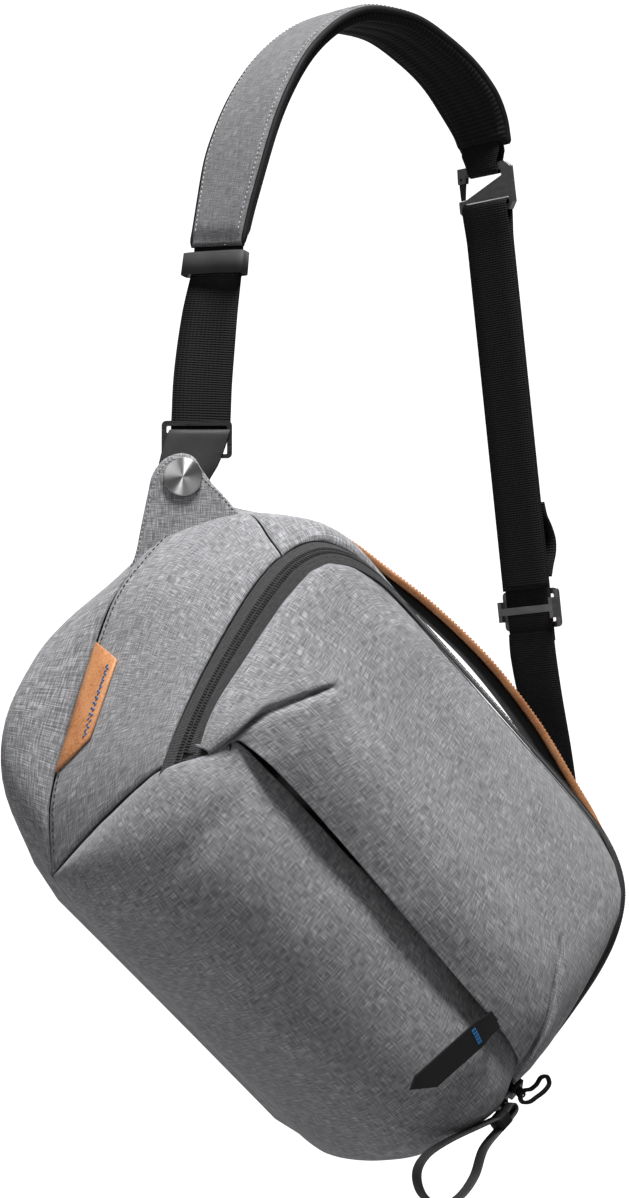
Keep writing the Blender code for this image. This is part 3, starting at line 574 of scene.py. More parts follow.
def stitches(name, points, normals, mat, body, matrix=BAG, pitch=3.4, length=2.3, radius=0.34,
             slot="heather_fabric"):
    """A row of thread stitches along points, as one mesh of short tapered rods."""
    hexagon = circle(6)
    run = lengths(points)
    bm = bmesh.new()
    at = pitch / 2
    i = 0
    while at < run[-1] - length / 2:
        while run[i + 1] < at:
            i += 1
        f = (at - run[i]) / max(1e-6, run[i + 1] - run[i])
        centre = points[i].lerp(points[i + 1], f)
        along = (points[i + 1] - points[i]).normalized()
        out = normals[i].lerp(normals[i + 1], f).normalized()
        side = along.cross(out).normalized()
        rings = []
        for s, size, lift in STITCH_SECTIONS:
            middle = centre + along * s * length + out * lift * radius
            rings.append([middle + (side * x + out * y) * radius * size for x, y in hexagon])
        add_rod(bm, rings)
        at += pitch
    bmesh.ops.recalc_face_normals(bm, faces=bm.faces)
    return finish_piece(to_object(name, bm, matrix), mat, body, slot=slot)


def seam_stitches(name, surface, path):
    """The stitches beside a seam of the body, along a path of the surface's parameters."""
    points, normals = [], []
    step = 0.01
    for a, b in path:
        here = surface(a, b)
        du = surface(a + step, b) - surface(a - step, b)
        dv = surface(a, b + step) - surface(a, b - step)
        normal = du.cross(dv).normalized()
        if normal.dot(here - INSIDE) < 0:
            normal = -normal
        points.append(here + normal * 0.1)
        normals.append(normal)
    stitches(name, points, normals, DARK_THREAD, "bag", pitch=4.2, length=2.8, radius=0.42)


# ---------------------------------------------------------------- bag surfaces

def half_outline(v, t):
    """Point of the bag's half outline at depth v, t running from the end seam to the top centre."""
    front = spline(FRONT_HALF, t)
    seam = spline(SEAM_HALF, t)
    if v <= SEAM_V:
        s = max(0.0, (v - FRONT_V) / (SEAM_V - FRONT_V))
        point = front.lerp(seam, s)
        amount = table(SWELL, t) * math.sin(math.pi * math.sqrt(s))
        return point + (point - MIDDLE).normalized() * amount
    rear = spline(REAR_HALF, t)
    s = min(1.0, (v - SEAM_V) / (REAR_V - SEAM_V))
    return seam.lerp(rear, math.sin(math.pi / 2 * s))


def end_top(v):
    return lerp(5.0, 7.0, min(1.0, (v - FRONT_V) / 66.0))


def end_low(v):
    """Where an end panel's lower seam is along the half outline: the straight seam down to the back."""
    floor = table([(-92, 72), (-40, 37), (0, 9)], v)
    low = 0.0
    while half_outline(v, low).y < floor:
        low += 0.01
    return low


END_LOW = [(FRONT_V + k, end_low(FRONT_V + k)) for k in range(0, 93, 2)]


SHOULDER_START, SHOULDER_RISE = 5.4, 9.0


def shoulder(side, a, t):
    """The bag's left top corner is fuller than its right one, where the strap pulls it up."""
    if side > 0 or not SHOULDER_START < t < TOP_CENTRE:
        return 0.0
    share = (t - SHOULDER_START) / (TOP_CENTRE - SHOULDER_START)
    return SHOULDER_RISE * math.sin(math.pi * share) ** 1.5 * math.sin(math.pi * math.sqrt(a))


def end_surface(side):
    def surface(a, b):
        v = lerp(FRONT_V, SEAM_V - 0.5, a)
        t = lerp(table(END_LOW, v), end_top(v), b)
        p = half_outline(v, t)
        return Vector((side * p.x, v, p.y + shoulder(side, max(0.0, a), t)))
    return surface


def top_surface(a, b):
    """Top panel: a from front to back seam, b from -1 at the left end seam to 1 at the right."""
    v = lerp(FRONT_V, SEAM_V - 0.5, a)
    t = lerp(TOP_CENTRE, end_top(v), abs(b))
    p = half_outline(v, t)
    return Vector((math.copysign(p.x, b) if b else 0.0, v, p.y + shoulder(b, max(0.0, a), t)))


def pocket_seam():
    """Depth, height and half width of the pocket's end seam, which follows the end panel's edge."""
    rows = [(-116, 106, 149.5), (-108, 90, 157)]
    for v in (-92, -72, -54, -36, -18, -0.6):
        p = half_outline(v, table(END_LOW, v))
        rows.append((v, p.y + 0.3, p.x + 0.2))
    return rows


POCKET_SEAM = pocket_seam()


def pocket_surface(a, s):
    """Outer face of the pocket: a from -1 to 1 across, s from 0 at the top edge to 1 at the back."""
    section = spline(POCKET_SECTION, s * (len(POCKET_SECTION) - 1))
    seam = spline(POCKET_SEAM, s * (len(POCKET_SEAM) - 1))
    fullness = math.sqrt(max(0.0, 1 - abs(a) ** 9))
    return Vector((a * seam.z, lerp(seam.x, section.x, fullness), lerp(seam.y, section.y, fullness)))


def lid_surface(a, w, lift=0.0):
    half = table(LID_HALF, w)
    bulge = table(LID_BULGE, w) * math.sqrt(max(0.0, 1 - abs(a) ** 5))
    return Vector((a * half, LID_EDGE_V + 4 * max(0.0, (w - 240) / 32) - bulge - lift, w))


def surface_rows(surface, firsts, seconds):
    return [[surface(a, b) for b in seconds] for a in firsts]


def back_ring(v, inset):
    blend = math.sin(math.pi / 2 * min(1.0, v / REAR_V))
    half = [Vector((u, lerp(7, 14, blend))) for u in (0, 27, 54, 80, 112)]
    half += [half_outline(min(v, REAR_V), TOP_CENTRE * k / 40) for k in range(41)]
    points = []
    for p in half:
        away = p - MIDDLE
        points.append(MIDDLE + away * max(0.0, 1 - inset / away.length))
    right = [Vector((p.x, v, p.y)) for p in points]
    left = [Vector((-p.x, v, p.y)) for p in points[-2:0:-1]]
    return right + left


def build_ends():
    for side, word in SIDES:
        surface = end_surface(side)
        rows = surface_rows(surface, spread(26), spread(44))
        cloth_panel(word + "_end_cloth", soften(rows), WALL, CLOTH, "bag", [word + "_end_panel"])
        seam_stitches(word + "_end_back_seam_stitches", surface, [(0.955, b / 60) for b in range(2, 59)])


def build_top():
    rows = surface_rows(top_surface, spread(26), spread_across(90))
    cloth_panel("top_cloth", soften(rows), WALL, CLOTH, "bag", ["top_panel"])
    seam_stitches("top_back_seam_stitches", top_surface, [(0.95, b / 60 - 1) for b in range(2, 119)])


CHANNEL_U, CHANNEL_W = 62.0, 150.0           # the two upright channels of the back, and the one across
CHANNEL_DEPTH, CHANNEL_HALF = 3.4, 5.0
CROWN_RINGS = 60


def back_channel(x, z):
    """Depth of the sewn channels of the padded back."""
    gap = abs(abs(x) - CHANNEL_U)
    if abs(x) < CHANNEL_U:
        gap = min(gap, abs(z - CHANNEL_W))
    return -CHANNEL_DEPTH * math.exp(-(gap / CHANNEL_HALF) ** 2)


def build_back():
    """Back: a padded tray, crowned between its sewn channels."""
    stations = [(0.4, 1.6), (2.0, 0.4), (5, 0), (10, 0), (15, 0), (20, 0), (25, 0.2), (29, 1.5), (33, 4),
                (36.5, 8), (39, 13), (41, 21), (42, 32)]
    rings = [back_ring(v, inset) for v, inset in stations]
    crown = rings[-1]
    for k in range(1, CROWN_RINGS):
        shrink = 1 - k / CROWN_RINGS
        ring = []
        for p in crown:
            x, z = p.x * shrink, MIDDLE.y + (p.z - MIDDLE.y) * shrink
            ring.append(Vector((x, BACK_V + 1.6 * ease(k / 18) + back_channel(x, z) * ease(k / 11), z)))
        rings.append(ring)
    bm = grid(rings, wrap=True, guide=6)
    bm.verts.ensure_lookup_table()
    bm.faces.new(bm.verts[-len(crown):])
    bm.normal_update()
    bmesh.ops.recalc_face_normals(bm, faces=bm.faces)
    flat_uv(bm, [face for face in bm.faces if face.calc_center_median().y > BACK_V - 0.5], 2)
    obj = to_object("back_cloth", bm, BAG)
    add_wall(obj, 6.0)
    finish_piece(obj, CLOTH, "bag", ["back_panel"], "heather_fabric")


def build_pocket():
    levels = [0, 0.01, 0.03] + [k / 26 for k in range(1, 26)] + [0.985, 1]
    rows = surface_rows(lambda s, a: pocket_surface(a, s), levels, spread_across(72))

    def sag(point):
        """Soft folds that run down from the pocket's zip near its two ends."""
        fold = math.exp(-((abs(point.x) - 128) / 10) ** 2) * ease((98 - point.z) / 40) * ease(point.z / 30)
        return -2.2 * fold + 1.6 * noise.noise(Vector((point.x * 0.02, 0, point.z * 0.012)))

    cloth_panel("pocket_cloth", soften(rows, "SWE", ripple=1.2, crease=sag), 2.5, CLOTH, "bag", ["pocket_panel"])


DART_LOW, DART_TOP = 0.945, 0.70             # where the dart runs, as a share of the lid's half width
LID_FOLD = 100.0                             # height of the fold over the pocket
DART_DEPTH, DART_HALF = 4.5, 0.016
FOLD_CLIMB, FOLD_DROP = 9.0, -9.0            # rise of the fold at its left end, and of the cloth past its ends


def dart(w):
    return lerp(DART_LOW, DART_TOP, min(1.0, max(0.0, (w - LID_FOLD) / (FLAP_TOP - LID_FOLD))))


def lip(a, w):
    """How far the cloth above the fold stands off the lid, with a crease along each dart."""
    s = max(0.0, (FLAP_TOP - w) / (FLAP_TOP - LID_FOLD))
    gap = abs(a) - dart(w)
    tip = math.exp(-(gap / 0.07) ** 2) * math.exp(-((w - FLAP_TOP + 6) / 12) ** 2)
    crease = DART_DEPTH * math.exp(-(gap / DART_HALF) ** 2) * min(1.0, (s + 0.06) * 8) * ease((FLAP_TOP + 5 - w) / 10)
    if gap > 0:
        return 2.6 * s ** 0.5 * math.exp(-((gap - 0.05) / 0.05) ** 2) - crease + 1.5 * tip
    near = ease(-gap / 0.2)
    return lerp(3.0 * s ** 0.45, FLAP_LIP * s ** 1.3, near) * min(1.0, s * 6) - crease + 1.5 * tip


def lid_columns(w):
    """Positions across the lid at height w, with two columns close together along each dart."""
    edge = dart(w)
    sides = [lerp(1.0, edge + 0.022, s) for s in spread(14)] + [edge + 0.013, edge + 0.005]
    inner = [0.003 - edge, 0.011 - edge] + [a * (edge - 0.02) for a in spread_across(46)]
    return [-a for a in sides] + inner + [edge - 0.011, edge - 0.003] + sides[::-1]


def fold_rise(point):
    """The fold climbs towards the bag's left end, and the cloth outside the darts runs down past it."""
    share = min(1.0, max(0.0, (FLAP_TOP - point.z) / (FLAP_TOP - LID_FOLD)))
    climb = FOLD_CLIMB * ease((150 - point.x) / 300)
    return lerp(climb, FOLD_DROP, ease((abs(point.x) - 148.5) / 5)) * share


def build_lid():
    """Lid and the flap over the pocket: one cloth, with a dart at each end of the fold."""
    levels = [lerp(LID_FOLD, 267, s ** 1.15) for s in spread(60)]

    def lid_row(w, behind=0.0, above=0.0):
        return [lid_surface(a, w, lip(a, w) - behind) + Vector((0, 0, above)) for a in lid_columns(w)]

    hem = [lid_row(LID_FOLD, 2.6, 0.6), lid_row(LID_FOLD, 1.0, -0.7)]
    soft = soften([lid_row(w) for w in levels], "SWE", depth=0.8, ripple=1.6)
    whole = [[p + Vector((0, 0, fold_rise(p))) for p in row] for row in hem + soft]
    cloth_panel("lid_cloth", whole, 2.2, CLOTH, "lid", ["lid_panel", "pocket_flap"])
    build_lid_foam()


def build_lid_foam():
    """Lining side of the lid."""
    levels = [lerp(112, 264, k / 20) for k in range(21)]
    rows = [[lid_surface(a * 0.97, w, -4.2) for a in spread_across(30)] for w in levels]
    cloth_panel("lid_lining", rows, 0.8, LINING, "lid", [], slot="lining")


# ---------------------------------------------------------------- zips

def zip_point(t, across):
    body = spline(FRONT_HALF, t)
    lid = spline(ZIP_LID_HALF, t)
    return Vector((body.x, FRONT_V - 1.4, body.y)).lerp(Vector((lid.x, LID_EDGE_V + 0.4, lid.y)), across)


def zip_path(start, count):
    """Parameters round the zip from the left end over the top to the right, as (side, t)."""
    steps = [2 * k / (count - 1) - 1 for k in range(count)]
    return [(1 if s > 0 else -1, lerp(TOP_CENTRE, start, abs(s))) for s in steps]


def zip_place(side, t, across):
    p = zip_point(t, across)
    return Vector((side * p.x, p.y, p.z))


COIL_PITCH, COIL_RADIUS = 1.9, 0.95
COIL_SECTION = [(1, -.4), (1, .4), (.4, 1), (-.4, 1), (-1, .4), (-1, -.4)]


def build_zip(name, body, edges, coil_edges, start, node, shift, flare=0.0):
    """Half of the zip, its coil turned to the inside: the tape covers it and shows only its ribs."""
    rows = []
    for side, t in zip_path(start, 181):
        far = edges[1] + flare * ease((1.9 - t) / 1.1)
        row = []
        for k in range(7):
            across = lerp(edges[0], far, k / 6)
            crown = 1.3 * math.exp(-((across - 0.5) / 0.3) ** 2)
            sink = 4.5 * max(0.0, across - 0.5) ** 2
            row.append(zip_place(side, t, across) + Vector((0, sink - crown, 0)))
        rows.append(row)
    cloth_panel(name + "_tape", rows, 1.0, ZIP_TAPE, body, [node], slot="zip_tape")
    finish_coil(name, body, coil_edges, [(zip_place(s, t, 0.5), s, t) for s, t in zip_path(start, 2400)], shift)


def finish_coil(name, body, edges, fine, goal):
    """One short rod for each turn of the coil, at even steps along a fine path."""
    bm = bmesh.new()
    run = 0.0
    for (p, s, t), (q, _, _) in zip(fine, fine[1:]):
        run += (q - p).length
        if run < goal:
            continue
        goal += COIL_PITCH
        inner = zip_place(s, t, edges[0])
        across = zip_place(s, t, edges[1]) - inner
        along = (q - p).normalized()
        out = across.cross(along).normalized()
        if out.y > 0:
            out = -out
        rings = []
        for f, w, h in ((0, 0.4, 0.2), (0.2, 0.7, 0.45), (0.8, 0.7, 0.5), (1.0, 0.5, 0.3)):
            middle = inner + across * f + out * COIL_RADIUS
            rings.append([middle + (along * x * w + out * y * h) * COIL_RADIUS for x, y in COIL_SECTION])
        add_rod(bm, rings)
    bmesh.ops.recalc_face_normals(bm, faces=bm.faces)
    finish_piece(to_object(name + "_coil", bm, BAG), ZIP_TAPE, body, slot="zip_tape")


def build_zip_ends():
    """Closed ends of the zip, where the tapes run down behind the pocket's upper corners."""
    for side, word in SIDES:
        rows = [[zip_place(side, lerp(-0.1, 1.1, k / 11), lerp(0.40, 2.2, j / 6)) + Vector((0, 0.9, 0))
                 for j in range(7)] for k in range(12)]
        cloth_panel("zip_end_" + word, rows, 1.0, ZIP_TAPE, "bag", [], slot="zip_tape")


def build_zips():
    build_zip_ends()
    build_zip("main_zip_body", "bag", (-0.05, 0.494), (0.33, 0.475), ZIP_START, "main_zip_tape_body", 0.0)
    build_zip("main_zip_lid", "lid", (0.506, 1.28), (0.67, 0.525), ZIP_LID_START, "main_zip_tape_lid",
              COIL_PITCH / 2, 0.3)


# ---------------------------------------------------------------- strap

def strap_axes(route, t):
    """Point, tangent, width direction and outward normal of the strap at t along a route."""
    here = spline(route, t)
    a = spline(route, t - 0.02)
    b = spline(route, t + 0.02)
    tangent = Vector((b.x - a.x, 0, b.y - a.y)).normalized()
    heading = math.radians(here.z)
    width = Vector((math.cos(heading), math.sin(heading), 0))
    width = (width - tangent * width.dot(tangent)).normalized()
    return Vector((here.x, 0, here.y)), tangent, width, tangent.cross(width)


def ribbon(name, route, width_at, outline, mat, body, nodes, slot, count, end=1.0):
    """A strap along a route: outline(width) gives its section as (across, over) points."""
    rows = []
    last = len(route) - 1
    for k in range(count):
        s = end * k / (count - 1)
        point, _, across, normal = strap_axes(route, s * last)
        rows.append([point + across * x + normal * y for x, y in outline(width_at(s), s)])
    return solid_piece(name, rows, mat, body, nodes, slot)


def flat_section(low, high, edge=0.8):
    def outline(width, _):
        h = width / 2
        e = min(edge, (high - low) / 2)
        inner = [-h + e, -h / 2, 0, h / 2, h - e]
        top = [(x, high) for x in inner]
        bottom = [(x, low) for x in reversed(inner)]
        return top + [(h, high - e), (h, low + e)] + bottom + [(-h, low + e), (-h, high - e)]
    return outline


WEB = flat_section(-0.9, 0.9, 0.6)
THIN_BAND = flat_section(-0.7, 0.7, 0.5)


def web_width(_):
    return STRAP_W


def pad_width(s):
    return lerp(PAD_END_W, PAD_W, ease(min(s, 1 - s) / 0.16))


def face_section(width, s):
    """Grey outer layer of the pad: crowned, thin at its sewn edges."""
    h = width / 2
    xs = [-1, -0.97, -0.9, -0.75, -0.5, -0.2, 0.2, 0.5, 0.75, 0.9, 0.97, 1]
    puff = ease(min(s, 1 - s) / 0.03)
    top = [(x * h, 1.2 + 3.6 * puff * (1 - abs(x) ** 6) ** 0.5) for x in xs]
    return top + [(x * h, 0.6) for x in reversed(xs)]


def lining_section(width, s):
    """Black padded inner layer: four soft ribs along the pad."""
    h = width / 2 + 0.6
    xs = [k / 20 - 1 for k in range(41)]
    puff = ease(min(s, 1 - s) / 0.03)
    under = [(x * h, -0.8 - puff * (1 - abs(x) ** 8) ** 0.5 * (6.6 + 1.2 * abs(math.cos(2 * math.pi * x))))
             for x in xs]
    return [(x * h, 0.2) for x in (1, 0.5, 0, -0.5, -1)] + under


def edge_section(side):
    def outline(width, s):
        centre = side * (width / 2 + 0.2)
        size = 2.0 * ease(min(s, 1 - s) / 0.01) + 0.3
        return [(centre + x * size * 0.8, 0.4 + y * size) for x, y in circle(12)]
    return outline


def build_pad():
    face = ribbon("shoulder_pad_cloth", PAD_ROUTE, pad_width, face_section, PAD_CLOTH, "strap",
                  ["shoulder_pad_face"], "heather_fabric", 150)
    lining = ribbon("shoulder_pad_mesh", PAD_ROUTE, pad_width, lining_section, MESH, "strap",
                    ["shoulder_pad_lining"], "pad_mesh", 150)
    for side, word in SIDES:
        ribbon("pad_binding_" + word, PAD_ROUTE, pad_width, edge_section(side), EDGE, "strap", [], "webbing", 150)
    for side, word in SIDES:
        points, normals = [], []
        for k in range(200):
            s = lerp(0.02, 0.98, k / 199)
            point, _, across, normal = strap_axes(PAD_ROUTE, s * (len(PAD_ROUTE) - 1))
            points.append(point + across * side * (pad_width(s) / 2 - 3.2) + normal * 4.1)
            normals.append(normal)
        stitches("pad_stitches_" + word, points, normals, GREY_THREAD, "strap", WORLD)
    build_keeper()


def build_keeper():
    """Coated band folded round the webbing below the pad, standing a little open at one side."""
    keeper = [(-124.6, -184, 113), (-122.6, -169, 111.5)]
    rows = []
    for x, y in oval(45, 8.6, 40, 0.4, 0.2):
        section = []
        for t, thick in ((0.0, 0.0), (0.02, 0.9), (0.98, 0.9), (1.0, 0.0), (0.98, -0.5), (0.02, -0.5)):
            point, _, across, normal = strap_axes(keeper, t)
            flare = 1 + 0.16 * ease((-x) / 22) * (1 - t)
            scale = 1 + thick / 22
            section.append(point + across * x * scale + normal * (y * flare + math.copysign(thick, y)))
        rows.append(section)
    solid_piece("keeper_band", rows, HYPALON, "strap", ["pad_keeper_loop"], "hypalon", ring=True)


def right_point(s):
    return Vector(RIGHT_TOP).lerp(Vector(RIGHT_LOW), s)


def ear_frame(side):
    """Matrix of an ear tab: z out of its face, y up along the strap, origin at the disc."""
    anchor = LEFT_ANCHOR if side < 0 else RIGHT_ANCHOR
    centre = BAG @ (anchor * MM) / MM
    if side < 0:
        face = Vector((-0.614, -0.789, 0))
        up = Vector((0, 0, 1))
    else:
        low_end = Vector((RIGHT_LOW[0], 0, RIGHT_LOW[1]))
        up = (low_end - Vector((centre.x, 0, centre.z))).normalized()
        edge_on = Vector((0, 1, 0)).cross(up)
        face = (edge_on * (1 if edge_on.x > 0 else -1) + Vector((0, -1, 0))).normalized()
    local = Matrix((up.cross(face), up, face)).transposed().to_4x4()
    local.translation = centre
    return local


HOOK_FOLD = -0.032                           # where the webbing turns round the hook's lower bar
FOLD_R = 3.4
FRONT_LAYER, REAR_LAYER = 1.1, -1.5          # how far the two layers stand off the run


def build_right_webbing(run):
    """One webbing: down the front of the run, and round the hook's bar to come down behind it."""
    _, tangent, across, normal = strap_axes(run, 0.5)
    up = tangent if tangent.z > 0 else -tangent

    def on_run(s):
        point = right_point(s)
        return Vector((point.x, 0, point.y))

    def station(s, middle):
        near = 1 - ease((s - HOOK_FOLD) / 0.09)
        return on_run(s) + normal * lerp(middle, math.copysign(FOLD_R, middle), near)

    centres = [station(lerp(1.035, HOOK_FOLD, k / 70), FRONT_LAYER) for k in range(71)]
    turn = on_run(HOOK_FOLD)
    centres += [turn + (up * math.sin(a) + normal * math.cos(a)) * FOLD_R
                for a in (math.pi * k / 12 for k in range(1, 12))]
    centres += [station(lerp(HOOK_FOLD, 0.905, k / 70), REAR_LAYER) for k in range(71)]
    rows = []
    for k, here in enumerate(centres):
        along = (centres[min(k + 1, len(centres) - 1)] - centres[max(k - 1, 0)]).normalized()
        out = along.cross(across).normalized()
        rows.append([here + across * x + out * y for x, y in flat_section(-0.85, 0.85, 0.6)(STRAP_W, 0)])
    solid_piece("right_webbing", rows, WEBBING, "strap", ["webbing_right", "webbing_right_return"], "webbing")


def build_end_loop():
    """Doubled webbing from inside the pad's end round the hook's top bar."""
    height, radius = 13.0, 3.7
    path = [(y, radius, 1.0) for y in (36.0, 30.0, 24.0, 18.0)]
    path += [(height - radius * math.sin(k * math.pi / 12), radius * math.cos(k * math.pi / 12),
              math.cos(k * math.pi / 12)) for k in range(13)]
    path += [(y, -radius, -1.0) for y in (18.0, 24.0, 30.0, 36.0)]
    rows = []
    for y, z, turn in path:
        half = lerp(12.5, 16.5, ease((y - height) / 14))
        side = math.sqrt(max(0.0, 1 - turn * turn))
        middle = Vector((0, y, z * lerp(1.0, 0.45, ease((y - 20) / 14))))
        out = Vector((0, -side, turn))
        rows.append([HOOK @ (middle + Vector((x, 0, 0)) + out * t) for x, t in THIN_BAND(2 * half, 0)])
    solid_piece("end_loop_webbing", rows, WEBBING, "strap", ["hook_end_loop"], "webbing")


def local_frame(route, t):
    """Matrix whose x runs across the strap, y up it and z out of it."""
    point, tangent, across, normal = strap_axes(route, t)
    up = tangent if tangent.z > 0 else -tangent
    right = up.cross(normal) if up.cross(normal).dot(across) < 0 else -up.cross(normal)
    local = Matrix((right, up, right.cross(up))).transposed().to_4x4()
    local.translation = point
    return local


HOOK = local_frame([(104.9, -80, 102), (107, -97, 102), (109, -114, 102)], 1.0)


def build_straps():
    left = ribbon("left_webbing", LEFT_ROUTE, web_width, WEB, WEBBING, "strap", ["webbing_left"], "webbing", 70)
    run = [RIGHT_TOP, RIGHT_LOW]
    build_right_webbing(run)
    end = ear_frame(1) @ Vector((0, STRAP_END, -5))
    route = LOWER_ROUTE + [(end.x, end.z, RIGHT_HEADING)]
    lower = ribbon("lower_webbing", route, web_width, WEB, WEBBING, "strap", ["webbing_lower"], "webbing", 70,
                   1.02)
    tail = []
    _, _, _, normal = strap_axes(run, 0.5)
    for s, lift in TAIL:
        point = right_point(s)
        tail.append((point.x + normal.x * lift, point.y + normal.z * lift, RIGHT_LOW[2]))
    ribbon("slack_tail", tail, web_width, WEB, WEBBING, "adjuster", ["webbing_tail"], "webbing", 40)
    build_end_loop()
    for piece, far in ((left, LEFT_ROUTE[0]), (lower, route[-1])):
        world = piece.matrix_world.copy()
        piece.parent = None
        piece.matrix_world = world
        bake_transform(piece)


# ---------------------------------------------------------------- handle, tag and hardware

def handle_bar(name, outline, mat, nodes, slot, start, end):
    """A bar along the handle between two shares of its length, with its spine and outward normals."""
    count = 120
    last = len(HANDLE_ROUTE) - 1
    points = [spline(HANDLE_ROUTE, last * lerp(start, end, k / (count - 1))) for k in range(count)]
    spine = [Vector((p.x, HANDLE_V, p.y)) for p in points]

    def out(k):
        along = (spine[min(k + 1, count - 1)] - spine[max(k - 1, 0)]).normalized()
        s = lerp(start, end, k / (count - 1))
        lean = HANDLE_LEAN * ease(min(s, 1 - s) / 0.3)
        return Vector((-along.z * math.cos(lean), -math.sin(lean), along.x * math.cos(lean)))

    bar = solid_piece(name, tube_rows(spine, out, outline), mat, "bag", nodes, slot, BAG)
    return bar, spine, [out(k) for k in range(count)]


def build_handle():
    _, spine, outs = handle_bar("handle_leather", oval(29, 4.6, 28, 0.28, -2.4), TAN, ["grab_handle_leather"],
                                "leather", 0.0, 1.0)
    padding, _, _ = handle_bar("handle_padding", oval(25, 6.6, 24, 0.45, -8.1), EDGE, ["grab_handle_pad"],
                               "webbing", 0.13, 0.87)
    for side, word in ((-1, "front"), (1, "back")):
        points = [p + n.cross(Vector((1, 0, 0))).normalized() * side * 12.0 + n * 0.05 for p, n in zip(spine, outs)]
        stitches("handle_stitches_" + word, points, outs, TAN_THREAD, "bag", pitch=3.0, length=2.0, slot="leather")


def tag_point(v, w, lift):
    t = table([(44, 1), (85, 2), (140, 3), (175, 4)], w)
    p = half_outline(v, t)
    return Vector((-(p.x + lift), v, p.y))


def build_tag():
    """Leather tag with a blue zigzag line along its front edge."""
    corners = [(-3, 60), (-3, 80), (-3, 100), (-3, 120), (-3, 141), (-14, 132), (-24, 124), (-24, 108),
               (-24, 90), (-24, 73), (-14, 66)]
    rings = [[tag_point(lerp(-14, v, f), lerp(100, w, f), lift) for v, w in corners]
             for f, lift in ((0.99, 0.6), (1, 1.0), (1, 2.0), (0.97, 2.5), (0.6, 2.6), (0.25, 2.6))]
    solid_piece("tan_tag", rings, TAN, "bag", ["leather_tag"], "leather", BAG)
    path = [(-18.6 - 2.4 * (k % 2), 74 + k * 1.9) for k in range(26)]
    points = [tag_point(v, w, 2.75) for v, w in path]
    stitches("tag_zigzag", points, [Vector((-1, 0, 0))] * len(points), BLUE_THREAD, "bag", pitch=3.1,
             length=2.9, radius=0.4, slot="leather")


SLIDERS = (("upper", 0.92), ("lower", 0.42))
POCKET_SLIDER = (106, -128.6, 100.2)
POCKET_PULL_LEAN = math.radians(17)
RING_LIFT, RING_RADIUS, RING_WIRE = 9.6, 2.5, 0.65


def right_zip_frame(t):
    """Matrix on the right stretch of the main zip: x across it, y up along it, z out of it."""
    here = zip_point(t, 0.5)
    along = (zip_point(3.0, 0.5) - zip_point(0.3, 0.5)).normalized()
    across = (zip_point(t, 0.0) - zip_point(t, 1.0)).normalized()
    out = across.cross(along).normalized()
    if out.y > 0:
        out = -out
    local = Matrix((along.cross(out), along, out)).transposed().to_4x4()
    local.translation = here
    return local


def build_slider_rings():
    """Wire link from each main slider to the loop that it is pulled by."""
    for name, t in SLIDERS:
        at = right_zip_frame(t)
        rows = []
        for y, z in circle(28):
            out = Vector((0, y, z))
            middle = Vector((0, -1, RING_LIFT)) + out * RING_RADIUS
            rows.append([at @ (middle + (out * c + Vector((1, 0, 0)) * s) * RING_WIRE) for c, s in circle(8)])
        solid_piece("slider_link_" + name, rows, DARK_METAL, "slider_" + name, slot="dark_metal", matrix=BAG,
                    ring=True)


# Width, thickness, material, slot, and the loop's path from the eye.
PULL_LOOPS = {
    "lower": (9.0, 1.4, HYPALON, "hypalon",
              [(0, 3.2), (3.0, -1), (-6, -10), (-22, -24), (-30, -41), (-42, -53), (-57, -57.5), (-72, -51),
               (-77, -38), (-70, -27), (-51, -18), (-26, -10), (-8, -4)]),
    "upper": (3.0, 2.4, EDGE, "webbing",
              [(0, 3.8), (5, 4.4), (10, 7.2), (14, 11.5), (19, 12), (21, 7.5), (17, 3.0), (10, -0.8), (4, -3.6),
               (-2, -3.4), (-3.8, 0.5)]),
}
EYE_LIFT = 12.5                              # the pulls turn this far out from the zip


def build_pulls():
    """Sewn loops of the main sliders, and the wrap that closes the flat one's throat."""
    for name, t in SLIDERS:
        eye = BAG @ (right_zip_frame(t) @ Vector((0, -1.0, EYE_LIFT)) * MM) / MM
        width, thickness, mat, slot, shape = PULL_LOOPS[name]
        section = flat_section(-thickness / 2, thickness / 2, 0.5)(width, 0)
        closed = [Vector((x, z)) for x, z in shape]
        closed = closed[-1:] + closed + closed[:2]
        rows = []
        for k in range(120):
            at = 1 + (len(closed) - 3) * k / 120
            here, ahead = spline(closed, at), spline(closed, at + 0.02)
            along = (ahead - here).normalized()
            out = Vector((along.y, 0, -along.x))
            middle = Vector((eye.x + here.x, eye.y, eye.z + here.y))
            rows.append([middle + Vector((0, x, 0)) + out * y for x, y in section])
        solid_piece("pull_loop_" + name, rows, mat, "pull_" + name, ["main_pull_" + name], slot, ring=True)
        if name == "lower":
            throat = Vector((eye.x - 8.0, eye.y, eye.z - 7.2))
            along = Vector((-0.78, 0, -0.62))
            over = along.cross(Vector((0, 1, 0)))
            points = [throat + along * (2.4 * (k - 2)) for k in range(5)]
            rows = tube_rows(points, lambda _: over, oval(10.8, 9.6, 24))
            solid_piece("pull_wrap", rows, EDGE, "pull_lower", slot="webbing")


def build_bar_tack():
    """Three lines of blue thread across the pocket's pull."""
    u, v, w = POCKET_SLIDER
    at = Matrix.Translation((u, v - 4.4, w - 2.0)) @ Matrix.Rotation(POCKET_PULL_LEAN, 4, "Y")
    at = at @ Matrix.Rotation(math.radians(90), 4, "X")
    for k in range(3):
        y = -17.0 - 1.3 * k
        points = [Vector((x, y, 1.05)) for x in (-5.6, 0, 5.6)]
        stitches("pull_bar_tack_%d" % k, points, [Vector((0, 0, 1))] * 3, BLUE_THREAD, "pocket_pull",
                 BAG @ millimetres(at), pitch=2.2, length=2.1, radius=0.42, slot="hypalon")


def millimetres(local):
    """The same placing for a mesh that to_object scales to metres."""
    scaled_local = local.copy()
    scaled_local.translation = local.translation * MM
    return scaled_local


